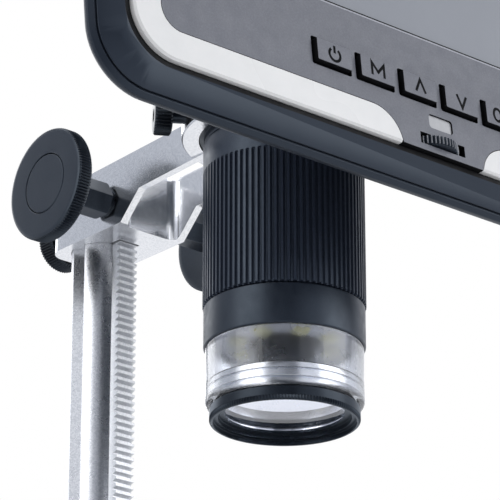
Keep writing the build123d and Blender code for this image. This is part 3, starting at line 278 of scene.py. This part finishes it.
# lathe-turned steel: bright with a light satin
turnedSteel = finish("steelTurned", "#c4c6c9", 0.25, metallic=1.0, grain=0.5, bump=0.002,
                     spread=("#b9bbbe", "#cfd1d4"))
# buffed steel: clear reflections of the white room
polishedSteel = finish("steelBuffed", "#e6e7e9", 0.20, metallic=1.0, grain=3.0, bump=0.002,
                       spread=("#dedfe1", "#eeeeef"))
# painted highlight: the dial's rib tips painted pale grey where they catch the light
ribTipPaintedHighlight = finish("absBlackPaintedRibHighlight", "#85888f", 0.35, grain=0.3, bump=0.003, spread=("#74777e", "#9799a0"))
# moulded rubber: dull and slightly blotched
footRubber = finish("rubberMoulded", "#1b1b1c", 0.75, grain=0.4, bump=0.02, spread=("#171718", "#222223"))
# textured powder coat: dark with an orange-peel skin
basePaint = finish("steelPowderCoated", "#26282c", 0.48, grain=0.7, bump=0.03, spread=("#222428", "#2c2e33"),
                   wander=0.03)
# eroded matt mould in white
stageAbs = finish("absWhiteMatt", "#e3e2df", 0.50, grain=0.5, bump=0.006, spread=("#dddcd9", "#e9e8e5"))
# solder mask on glass fibre board, white round the lamps and green inside
whiteMask = finish("solderMaskWhite", "#f4f5fa", 0.35, grain=1.0, bump=0.004, spread=("#eff0f5", "#f8f9fd"))
greenMask = finish("solderMaskGreen", "#1d6b3c", 0.3, grain=1.0, bump=0.004, spread=("#195f35", "#217443"))
# silicone with yellow phosphor over each lamp chip
phosphor = finish("siliconePhosphor", "#f0ecba", 0.35, grain=0.6, bump=0.004, spread=("#ebe5a4", "#f5f2ce"))
# diffusing acrylic of the receiver window
milky = finish("acrylicMilky", "#b4b6bb", 0.25, grain=2.0, bump=0.004, spread=("#b0b2b7", "#b8babf"))
# screen-printed ink of the key legends
legendInk = finish("inkBlackScreenPrinted", "#060709", 0.7, grain=0.3, bump=0.002,
                   spread=("#050608", "#08090c"), **{"Specular IOR Level": 0.1})
# moulded clear acrylic: polished outside, and frosted inside so the lamps behind it blur
clearAcrylic = finish("acrylicClearMoulded", "#f4f6f9", 0.04, grain=1.2, bump=0.003, wander=0.5, **acrylic)
frostedAcrylic = finish("acrylicFrosted", "#f2f5fd", 0.30, grain=0.4, bump=0.012, wander=0.2, **acrylic)
# coated optical glass, almost unseen but for its highlights
coatedGlass = finish("glassOpticalCoated", "#f6f7fd", 0.01, grain=20.0, bump=0.0005,
                     **{**acrylic, "IOR": 1.5})
# hard-coated window over the dark panel: an even blue grey
screenGlass = finish("acrylicHardCoated", "#80858f", 0.30, grain=12.0, bump=0.001,
                     spread=("#7f848e", "#828791"))
# the display behind it, switched off: dark and even
lcdDark = finish("glassLcdPanelOff", "#585c68", 0.3, grain=1.0, bump=0.001, spread=("#555965", "#5b5f6b"))
# tin-plated sheet of the sockets: pale and lightly blurred
socketSteel = finish("steelTinPlated", "#b9bbbe", 0.3, metallic=1.0, grain=1.0, bump=0.003,
                     spread=("#b1b3b6", "#c1c3c6"))
print("materials made")


def settle(points, turn=None):
    # barrel millimetres to the object's metres, by way of turn where the piece's axis isn't upright
    points = np.asarray(points, float)
    if turn is not None:
        points = points @ np.array(turn.to_3x3()).T + np.array(turn.translation)
    return (points + np.array(barrelOrigin)) * mm


weldReach = 1e-7                                       # metres between points that are one


def makePiece(name, points, faces, materials, body, slot=None, replaces=(), sharp=30, marks=None, weld=False):
    # points and faces as one smooth object on a body; marks gives each face's place among the materials, and
    # weld closes poles and points every face outwards
    mesh = bpy.data.meshes.new(name)
    mesh.from_pydata(points.tolist(), [], faces if isinstance(faces, list) else faces.tolist())
    if marks is not None:
        mesh.polygons.foreach_set("material_index", np.asarray(marks, np.int32).reshape(-1))
    if weld:
        work = bmesh.new()
        work.from_mesh(mesh)
        bmesh.ops.remove_doubles(work, verts=work.verts, dist=weldReach)
        bmesh.ops.recalc_face_normals(work, faces=work.faces)
        work.to_mesh(mesh)
        work.free()
    mesh.polygons.foreach_set("use_smooth", np.ones(len(mesh.polygons), bool))
    mesh.set_sharp_from_angle(angle=math.radians(sharp))
    for material in materials:
        mesh.materials.append(material)
    obj = bpy.data.objects.new(name, mesh)
    scene.collection.objects.link(obj)
    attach(obj, body)
    if replaces:
        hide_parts(*replaces)
    return obj


def gridFaces(rows, columns, closedRows=True, first=0):
    # quads between neighbouring rows and columns, the columns closed into a ring
    r = np.arange(rows if closedRows else rows - 1)[:, None]
    c = np.arange(columns)[None, :]
    r2, c2 = (r + 1) % rows, (c + 1) % columns
    quads = np.stack([r * columns + c, r * columns + c2, r2 * columns + c2, r2 * columns + c], -1)
    return quads.reshape(-1, 4) + first


def eased(profile, steps=3):
    # each (radius, height, softness) corner becomes a short curve: the quadratic from the point softness
    # before it to the point softness after it, with the corner as its control point
    pts = [np.array(p[:2], float) for p in profile]
    out = []
    for i, point in enumerate(pts):
        softness = profile[i][2] if len(profile[i]) > 2 else 0.0
        if not softness:
            out.append(point)
            continue
        before, after = pts[i - 1] - point, pts[(i + 1) % len(pts)] - point
        a = point + before / np.linalg.norm(before) * softness
        b = point + after / np.linalg.norm(after) * softness
        t = np.linspace(0, 1, steps + 2)[:, None]
        out.extend((1 - t) ** 2 * a + 2 * t * (1 - t) * point + t ** 2 * b)
    return np.array(out)


boreReach = 0.02                                       # mm past the smallest radius that is still the bore


def turned(name, profile, material, body, segments=128, turn=None, steps=3, inner=None, **facts):
    # a closed (radius, height) outline, anticlockwise, swept round the axis; heights from the filter's face;
    # inner is the material of the bore
    ring = eased(profile, steps)
    angle = np.linspace(0, 2 * np.pi, segments, endpoint=False)
    r, z = ring[:, :1], ring[:, 1:2]
    points = np.stack([r * np.cos(angle), r * np.sin(angle), z + 0 * angle], -1).reshape(-1, 3)
    marks, materials = None, [material]
    if inner:
        bore = ring[:, 0] < ring[:, 0].min() + boreReach
        marks = np.repeat(bore & np.roll(bore, -1), segments)
        materials.append(inner)
    return makePiece(name, settle(points, turn), gridFaces(len(ring), segments), materials, body, marks=marks,
                     **facts)


paintedHighlightShare = 0.9                                         # how far down a rib its painted highlight reaches


def ribbed(name, rows, teeth, material, body, perTooth=4, turn=None, tips=None, flats=0.0, **facts):
    # rows of (radius, height, rib): radius(turn) = radius - rib * (0.5 - 0.5 cos(teeth * turn)); a row whose
    # rib is below zero is a hexagon instead, radius(turn) = half its flats / cos(angle from the flat's middle)
    rows = np.array(rows, float)
    angle = np.linspace(0, 2 * np.pi, teeth * perTooth, endpoint=False)
    wave = 0.5 - 0.5 * np.cos(teeth * angle)
    off = (angle + np.pi / 6) % (np.pi / 3) - np.pi / 6
    hexagon = np.minimum(flats / 2 / np.cos(off), rows[:, :1])
    r = np.where(rows[:, 2:3] < 0, hexagon, rows[:, :1] - np.maximum(rows[:, 2:3], 0) * wave)
    points = np.stack([r * np.cos(angle), r * np.sin(angle), rows[:, 1:2] + 0 * angle], -1).reshape(-1, 3)
    marks, materials = None, [material]
    if tips:
        ribRow = (rows[:, 2] > 0) & (np.roll(rows[:, 2], -1) > 0)
        marks = ribRow[:, None] & ((wave + np.roll(wave, -1))[None, :] < paintedHighlightShare)
        materials.append(tips)
    return makePiece(name, settle(points, turn), gridFaces(len(rows), len(angle)), materials, body, marks=marks,
                     **facts)


frontFacing = 0.75                                     # a face nearer than this to forwards isn't a wall


def soft(node, material, bevel=0.15, segments=2, angle=32, walls=None, within=None, rim=-1, flat=1.0):
    # a merged copy of the CAD solid with its flats joined, its edges rounded and its curves shaded smooth;
    # walls is the material of every face that doesn't look forwards from the monitor, or where within is
    # given of every face inside that rounded rectangle (half width, middle, half height, corner), and rim is
    # the place among the materials of the rounded edges
    source = nodes[node].data
    co = np.zeros(len(source.vertices) * 3)
    source.vertices.foreach_get("co", co)
    corner = np.zeros(len(source.loops), int)
    source.loops.foreach_get("vertex_index", corner)
    points, index = np.unique(np.round(co.reshape(-1, 3), 7), axis=0, return_inverse=True)
    faces = index.reshape(-1)[corner].reshape(-1, 3)
    faces = faces[(faces[:, 0] != faces[:, 1]) & (faces[:, 1] != faces[:, 2]) & (faces[:, 0] != faces[:, 2])]
    raw = bpy.data.meshes.new("raw")
    raw.from_pydata(points.tolist(), [], faces.tolist())
    work = bmesh.new()
    work.from_mesh(raw)
    bmesh.ops.dissolve_limit(work, angle_limit=math.radians(flat), verts=work.verts, edges=work.edges)
    mesh = bpy.data.meshes.new(node + "Soft")
    work.to_mesh(mesh)
    work.free()
    bpy.data.meshes.remove(raw)
    mesh.polygons.foreach_set("use_smooth", np.ones(len(mesh.polygons), bool))
    mesh.set_sharp_from_angle(angle=math.radians(angle))
    mesh.materials.append(material)
    if walls:
        mesh.materials.append(walls)
        normals = np.zeros(len(mesh.polygons) * 3)
        mesh.polygons.foreach_get("normal", normals)
        marks = normals.reshape(-1, 3) @ frontward < frontFacing
        if within:
            co, corner = np.zeros(len(mesh.vertices) * 3), np.zeros(len(mesh.loops), np.int32)
            first = np.zeros(len(mesh.polygons), np.int32)
            mesh.vertices.foreach_get("co", co)
            mesh.loops.foreach_get("vertex_index", corner)
            mesh.polygons.foreach_get("loop_start", first)
            local = co.reshape(-1, 3) / mm - np.array(barrelOrigin)
            local = (local - np.array(monitorTurn.translation)) @ np.array(monitorTurn.to_3x3())
            half, middle, tall, bend = within
            past = np.maximum(np.abs(local[:, [0, 2]] - [0, middle]) - [half - bend, tall - bend], 0)
            inside = np.hypot(past[:, 0], past[:, 1]) < bend
            marks = np.logical_and.reduceat(inside[corner], first)
        mesh.polygons.foreach_set("material_index", marks.astype(np.int32))
    obj = bpy.data.objects.new(mesh.name, mesh)
    scene.collection.objects.link(obj)
    if bevel:
        edge = obj.modifiers.new("edges", "BEVEL")
        edge.width = bevel * mm
        edge.segments = segments
        edge.limit_method = "ANGLE"
        edge.angle_limit = math.radians(angle)
        edge.harden_normals = True
        edge.material = rim
    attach(obj, bodyOf[node])
    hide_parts(node)
    return obj


def dress(material, *names):
    for name in names:
        nodes[name].data.materials.clear()
        nodes[name].data.materials.append(material)


soft("base_plate", basePaint, 0.3)
soft("stage_plate", stageAbs, 0.1)
soft("rubber_feet", footRubber, 0.2)
soft("column", columnBar, 0.12)
soft("column_collar", blackOxide, 0.15)
soft("column_cap", knobAbs, 0.1)
soft("column_screw", turnedSteel, 0.15)
soft("rack_strip", rackBar, 0.05)
print("stand done")

soft("arm_casting", armCast, 0.22)
soft("pinion_shaft", turnedSteel, 0)
dress(turnedSteel, "knob_screws", "lock_stud")
dress(blackOxide, "clamp_stud")

focusKnob = {"radius": 12.3, "inner": 21.45, "outer": 25.0, "teeth": 120, "rib": 0.3, "hub": 9.55,
             "flats": 7.0, "corner": 3.9, "bore": 2.0, "screw": 1.25, "seat": 2.4, "seatDepth": 1.2,
             "cap": 6.65, "capDepth": 1.2, "axis": (0, 48.2, 60.2)}


def focusKnobs():
    # a closed outline round the axis: bore, hexagonal hub, ribbed rim, cap seat and screw seat
    k = focusKnob
    r, low, high, deep = k["radius"], k["inner"], k["outer"], k["outer"] - k["capDepth"]
    rows = [(k["bore"], k["hub"], 0), (k["corner"], k["hub"], -1), (k["corner"] + 0.3, k["hub"] + 0.3, -1),
            (k["corner"] + 0.3, low - 0.02, -1), (k["corner"] + 0.3, low, -1), (r - 1.6, low, 0),
            (r - 0.75, low, 0), (r - 0.3, low + 0.15, 0.04), (r, low + 0.5, k["rib"]),
            (r, high - 0.9, k["rib"]), (r - 0.1, high - 0.5, k["rib"] * 0.7), (r - 0.36, high - 0.2, 0.05),
            (r - 0.8, high - 0.03, 0), (r - 1.2, high, 0), (k["cap"] + 0.12, high, 0),
            (k["cap"], high - 0.1, 0), (k["cap"], deep, 0), (k["seat"], deep, 0),
            (k["seat"], deep - k["seatDepth"], 0), (k["screw"], deep - k["seatDepth"], 0), (k["screw"], low, 0),
            (k["bore"], low, 0)]
    for side, angle in (("left", -90), ("right", 90)):
        turn = Matrix.Translation(k["axis"]) @ Matrix.Rotation(math.radians(angle), 4, "Y")
        ribbed(side + "KnobRibbed", rows, k["teeth"], knobAbs, bodyOf[side + "_focus_knob"], turn=turn,
               flats=k["flats"], slot="knob_plastic", replaces=(side + "_focus_knob",))
        soft(side + "_shaft_bush", blackOxide, 0.1)
        soft(side + "_knob_cap", knobAbs, 0.08)


focusKnobs()

clampKnob = {"radius": 4.05, "hole": 1.4, "low": 23.15, "high": 26.9, "level": 65.15, "angle": 147, "teeth": 34,
             "rib": 0.3}
c = clampKnob
ribbed("clampKnobRibbed", [
    (c["hole"], c["low"], 0), (c["radius"] - 0.8, c["low"], 0), (c["radius"] - 0.4, c["low"] + 0.1, 0.05),
    (c["radius"], c["low"] + 0.4, c["rib"]), (c["radius"], c["high"] - 0.4, c["rib"]),
    (c["radius"] - 0.3, c["high"] - 0.1, 0.05), (c["radius"] - 0.55, c["high"], 0), (c["hole"], c["high"], 0)],
    c["teeth"], gripAbs, bodyOf["clamp_knob"], perTooth=6, slot="black_metal", replaces=("clamp_knob",),
    turn=Matrix.Translation((0, 0, c["level"])) @ Matrix.Rotation(math.radians(c["angle"]), 4, "Z")
    @ Matrix.Rotation(math.radians(90), 4, "Y"))

lockKnob = {"radius": 6.0, "hub": 4.0, "bore": 2.0, "start": 68.4, "hubLength": 2.8, "length": 4.5,
            "boreEnd": 1.5, "level": 60.2, "teeth": 60, "rib": 0.3}
k = lockKnob
mid, end = k["start"] + k["hubLength"], k["start"] + k["hubLength"] + k["length"]
ribbed("lockKnobRibbed", [
    (0, end - k["boreEnd"], 0), (k["bore"], end - k["boreEnd"], 0), (k["bore"], k["start"], 0),
    (k["hub"] - 0.2, k["start"], 0), (k["hub"], k["start"] + 0.2, 0), (k["hub"], mid, 0),
    (k["radius"] - 0.6, mid, 0), (k["radius"], mid + 0.5, k["rib"]), (k["radius"], end - 0.5, k["rib"]),
    (k["radius"] - 0.5, end - 0.1, 0.05), (k["radius"] - 0.8, end, 0), (0, end, 0)],
    k["teeth"], gripAbs, bodyOf["lock_knob"], slot="knob_plastic", replaces=("lock_knob",), weld=True,
    turn=Matrix.Translation((0, 0, k["level"])) @ Matrix.Rotation(math.radians(-90), 4, "X"))
print("arm done")

sleeve = {"radius": 16.5, "bore": 12.9, "low": 24.1, "high": 59.4, "flutes": 80, "depth": 0.62, "land": 0.36,
          "fluteTop": 53.1, "edge": 0.3, "across": 11, "upTip": 7}


def flutedSleeve():
    # radius(turn, height) = radius - depth * groove(turn) * fade(height): groove is a half circle across
    # its width and fade a half circle at its upper end
    s = sleeve
    pitch = 2 * np.pi / s["flutes"]
    half = (1 - s["land"]) / 2
    local = np.concatenate([[0.0], np.linspace(-1, 1, s["across"])])
    across = np.concatenate([[-0.5], np.linspace(-half, half, s["across"])]) * pitch
    angle = (np.arange(s["flutes"])[:, None] * pitch + across[None, :]).reshape(-1)
    local = np.tile(local, s["flutes"])
    inFlute = np.tile(np.arange(s["across"] + 1) > 0, s["flutes"])
    run = half * pitch * s["radius"]
    tip = s["fluteTop"] - run * (1 - np.cos(np.linspace(0, np.pi / 2, s["upTip"])))[::-1]
    heights = np.concatenate([[s["low"] + 0.15, s["low"] + 6], tip, [s["fluteTop"] + 0.02]])
    rows = [(s["bore"], s["low"] + 0.1, 0), (s["bore"] + 0.2, s["low"], 0), (s["radius"] - 0.75, s["low"], 0)]
    rows += [(s["radius"], z, 1) for z in heights]
    rows += [(s["radius"], s["high"] - s["edge"], 0), (s["radius"] - 0.09, s["high"] - 0.09, 0),
             (s["radius"] - s["edge"], s["high"], 0), (s["bore"] + 0.2, s["high"], 0),
             (s["bore"], s["high"] - 0.2, 0)]
    rows = np.array(rows)
    reach = np.clip((rows[:, 1] - (s["fluteTop"] - run)) / run, 0, 1)
    fade = np.sqrt(np.clip(1 - reach ** 2, 0, 1)) * (rows[:, 2] > 0)
    cut = np.sqrt(np.clip(1 - (local[None, :] / np.maximum(fade, 1e-3)[:, None]) ** 2, 0, 1)) * inFlute[None, :]
    r = rows[:, :1] - s["depth"] * cut * fade[:, None]
    z = rows[:, 1:2] + 0 * angle[None, :]
    points = np.stack([r * np.cos(angle), r * np.sin(angle), z], -1).reshape(-1, 3)
    makePiece("sleeveFluted", settle(points), gridFaces(len(rows), len(angle)), [sleeveAbsPaintedSheen],
              bodyOf["focus_sleeve"], slot="barrel_plastic", replaces=("focus_sleeve",), sharp=50)


flutedSleeve()

band = {"radius": 16.3, "bore": 12.8, "seat": 14.25, "low": 15.4, "high": 23.8, "step": 17.3}
turned("bandLower", [(band["bore"], band["step"]), (band["seat"], band["step"]),
                     (band["seat"], band["low"], 0.1), (band["radius"], band["low"], 0.35),
                     (band["radius"], band["high"], 0.3), (band["bore"], band["high"])],
       barrelAbs, bodyOf["lower_band"], slot="barrel_plastic", replaces=("lower_band",))

skirt = {"radius": 15.95, "bore": 14.25, "low": 3.2, "high": 15.4, "lip": 1.3, "waist": 9.0, "draft": 0.15}
turned("skirtClear", [(skirt["bore"], skirt["low"], 0.3), (skirt["radius"], skirt["low"], skirt["lip"]),
                      (skirt["radius"] - skirt["draft"], skirt["waist"]),
                      (skirt["radius"], skirt["high"], 0.45), (skirt["bore"], skirt["high"])],
       clearAcrylic, bodyOf["clear_skirt"], segments=160, steps=8, inner=frostedAcrylic, slot="clear_plastic",
       replaces=("clear_skirt",))

# the ring reaches 0.1 mm into the skirt's wall, so the two look pressed together
threads = {"radius": 14.35, "bore": 13.05, "low": 3.3, "high": 8.0, "grooves": (4.8, 6.5), "groove": 0.35}
ringProfile = [(threads["bore"], threads["low"], 0.15), (threads["radius"], threads["low"], 0.2)]
for middle in threads["grooves"]:
    ringProfile += [(threads["radius"], middle - 0.25), (threads["radius"] - threads["groove"], middle - 0.1),
                    (threads["radius"] - threads["groove"], middle + 0.1), (threads["radius"], middle + 0.25)]
ringProfile += [(threads["radius"], threads["high"], 0.3), (threads["bore"], threads["high"], 0.15)]
turned("threadRing", ringProfile, polishedSteel, bodyOf["thread_ring"], segments=160, slot="bright_steel",
       replaces=("thread_ring",))

filterRing = {"radius": 15.05, "high": 2.9, "teeth": 150, "rib": 0.22, "mouth": 14.3, "mouthDepth": 1.0,
              "step": 13.3, "stepDepth": 1.9, "opening": 12.0, "lip": 2.4, "seat": 12.45, "spigot": 13.0,
              "top": 5.9}
f = filterRing
ribbed("filterRingRibbed", [
    (f["mouth"], 0.06, 0), (f["mouth"] + 0.08, 0.0, 0), (f["radius"] - 0.4, 0.0, 0),
    (f["radius"] - 0.1, 0.2, f["rib"]), (f["radius"], 0.45, f["rib"]), (f["radius"], 0.9, f["rib"]),
    (f["radius"] - 0.02, 1.0, 0), (f["radius"], 1.1, 0), (f["radius"], f["high"] - 0.2, 0),
    (f["radius"] - 0.2, f["high"], 0), (f["spigot"], f["high"], 0), (f["spigot"], f["top"], 0),
    (f["seat"], f["top"], 0), (f["seat"], f["lip"], 0), (f["opening"], f["lip"], 0),
    (f["opening"], f["stepDepth"], 0), (f["step"] - 0.06, f["stepDepth"], 0),
    (f["step"], f["stepDepth"] - 0.06, 0), (f["step"], f["mouthDepth"], 0),
    (f["mouth"] - 0.06, f["mouthDepth"], 0), (f["mouth"], f["mouthDepth"] - 0.06, 0)],
    f["teeth"], blackOxide, bodyOf["filter_ring"], slot="black_metal", replaces=("filter_ring",))
dress(coatedGlass, "filter_glass", "lens_elements")
dress(whiteMask, "light_board")
soft("leds", phosphor, 0.15)
dress(barrelAbs, "inner_tube")
soft("lens_cell", blackOxide, 0.1)
soft("camera_body", barrelAbs, 0.1)
soft("head_cap", barrelAbs, 0.15)
soft("tilt_bracket", blackOxide, 0.12)
dress(turnedSteel, "bracket_screws", "hinge_pin")
dress(greenMask, "sensor_board")
soft("hinge_lugs", blackOxide, 0.12)
print("barrel done")

grooveWalls = (77.3, 50.0, 54.4, 10.15)                # the groove's outer edge, in monitor mm; the frame's faces inside it take the painted shade of the groove
soft("rear_shell", backAbs, 0.15)
soft("front_frame", shellAbs, 0.2, walls=wallPaintedShade, within=grooveWalls)
# painted shade on the walls of the plate's openings and the window's sides
soft("faceplate", panelCoat, 0.06, walls=wallPaintedShade)
soft("left_trim", trimPearl, 0.08)
soft("right_trim", trimPearl, 0.08)
soft("display_window", screenGlass, 0.06, walls=wallPaintedShade)
dress(lcdDark, "lcd_panel")
dress(greenMask, "main_board")
dress(footRubber, "keypad_mat")
soft("ir_window", milky, 0.08)
dress(turnedSteel, "shell_screws")
soft("dc_jack", knobAbs, 0.08)
dress(socketSteel, "usb_socket", "card_slot")

wheel = {"radius": 6.1, "thickness": 1.9, "deep": 4.4, "level": -0.3, "ribs": 46, "rib": 0.5, "axle": 2.4,
         "pin": 1.0}
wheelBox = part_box("brightness_wheel")
across = (wheelBox[0][0] + wheelBox[1][0]) / 2 / mm
wheelTurn = monitorTurn @ Matrix.Translation((across, wheel["deep"], wheel["level"]))
w, h = wheel["radius"], wheel["thickness"] / 2
# the dial's rib tips carry a painted highlight
ribbed("dialRibbed", [
    (0, -h, 0), (w - 1.2, -h, 0), (w - 0.7, -h, 0), (w - 0.1, -h + 0.08, wheel["rib"] * 0.8),
    (w, -h + 0.25, wheel["rib"]), (w, h - 0.25, wheel["rib"]), (w - 0.1, h - 0.08, wheel["rib"] * 0.8),
    (w - 0.7, h, 0), (w - 1.2, h, 0), (wheel["pin"], h, 0), (wheel["pin"], h + wheel["axle"], 0),
    (0, h + wheel["axle"], 0)],
    wheel["ribs"], knobAbs, bodyOf["brightness_wheel"], perTooth=6, turn=wheelTurn, tips=ribTipPaintedHighlight, weld=True,
    slot="knob_plastic", replaces=("brightness_wheel",))

keys = {"names": ("power", "menu", "up", "down", "ok", "snap"), "pitch": 11.15, "level": 10.4, "proud": 1.0,
        "stroke": 0.58, "size": 1.2, "lift": 0.02, "sink": 0.06}
circle = np.linspace(0, 2 * np.pi, 40, endpoint=False)
arc = np.radians(np.linspace(128, 412, 32))
legends = {                                       # each stroke is (closed, points in mm from the key's middle)
    "power": [(False, np.stack([1.15 * np.cos(arc), 1.15 * np.sin(arc) - 0.15], 1)),
              (False, [(0, 0.1), (0, 1.45)])],
    "menu": [(False, [(-1.3, -1.15), (-1.3, 1.15), (0, -0.4), (1.3, 1.15), (1.3, -1.15)])],
    "up": [(False, [(-1.05, -1.1), (0, 1.2), (1.05, -1.1)])],
    "down": [(False, [(-1.05, 1.1), (0, -1.2), (1.05, 1.1)])],
    "ok": [(True, np.stack([0.85 * np.cos(circle) - 1.1, 1.15 * np.sin(circle)], 1)),
           (False, [(0.35, -1.3), (0.35, 1.3)]), (False, [(1.7, 1.3), (0.5, 0.0), (1.7, -1.3)])],
    "snap": [(True, [(-1.6, -1.0), (-1.6, 0.9), (-0.6, 0.9), (-0.35, 1.3), (0.35, 1.3), (0.6, 0.9), (1.6, 0.9),
                     (1.6, -1.0)]),
             (True, np.stack([0.5 * np.cos(circle), 0.5 * np.sin(circle) - 0.05], 1))],
}


sharpestMitre = 0.35                              # a tighter corner's mitre grows no longer than this one's


def lay(name, strokes, width, low, top, material, body, shift=(0, 0, 0)):
    # each stroke is a bar along its points: the sides lie half its width along the mitre of the two runs
    # that meet there, and its closed section reaches from low to top, both depths behind the monitor's face
    points, faces, first = [], [], 0
    for closed, path in strokes:
        path = np.asarray(path, float)
        ahead = np.roll(path, -1, 0) - path
        if not closed:
            ahead[-1] = ahead[-2]
        ahead /= np.linalg.norm(ahead, axis=1, keepdims=True)
        behind = np.roll(ahead, 1, 0)
        if not closed:
            behind[0] = ahead[0]
        mitre = ahead + behind
        mitre /= np.linalg.norm(mitre, axis=1, keepdims=True)
        across = np.stack([-mitre[:, 1], mitre[:, 0]], 1)
        across *= width / 2 / np.maximum((mitre * ahead).sum(1, keepdims=True), sharpestMitre)
        left, right = path + across, path - across
        section = [np.insert(side, 1, depth, axis=1) for side, depth in
                   ((left, low), (left, top), (right, top), (right, low))]
        points.append(np.stack(section, 1).reshape(-1, 3))
        faces += gridFaces(len(path), 4, closed, first).tolist()
        if not closed:
            last = first + 4 * (len(path) - 1)
            faces += [[first + 3, first + 2, first + 1, first], [last, last + 1, last + 2, last + 3]]
        first += 4 * len(path)
    points = settle(np.concatenate(points) + np.array(shift), monitorTurn)
    makePiece(name, points, faces, [material], body, weld=True)


for index, name in enumerate(keys["names"]):
    # painted shade: each key's side walls and rounded edges take the near-black wall material
    soft(name + "_button", panelCoat, 0.16, walls=wallPaintedShade, rim=1)
    strokes = [(closed, np.asarray(path) * keys["size"]) for closed, path in legends[name]]
    lay(name + "Legend", strokes, keys["stroke"], keys["sink"] - keys["proud"], -keys["proud"] - keys["lift"],
        legendInk, bodyOf[name + "_button"], ((index - 2.5) * keys["pitch"], 0, keys["level"]))

# painted shade: a near-black strip round the window stands for the shadowed gap there, and outside it a pale
# strip is a painted highlight on the plate's opening edge
screenLines = {"half": 56.25, "low": 22.6, "high": 87.1, "width": 0.30, "deep": 0.45, "lip": 0.30, "lipDeep": 0.1,
        "lipOut": 0.3, "proud": 0.015}
for name, out, width, deep, material in (("screenSeal", 0, screenLines["width"], screenLines["deep"], wallPaintedShade),
                                         ("screenLip", screenLines["lipOut"], screenLines["lip"], screenLines["lipDeep"], edgePaintedHighlight)):
    x, low, high = screenLines["half"] + out, screenLines["low"] - out, screenLines["high"] + out
    lay(name, [(True, [(-x, low), (x, low), (x, high), (-x, high)])], width, deep, -screenLines["proud"], material,
        bodyOf["faceplate"])
print("monitor done")
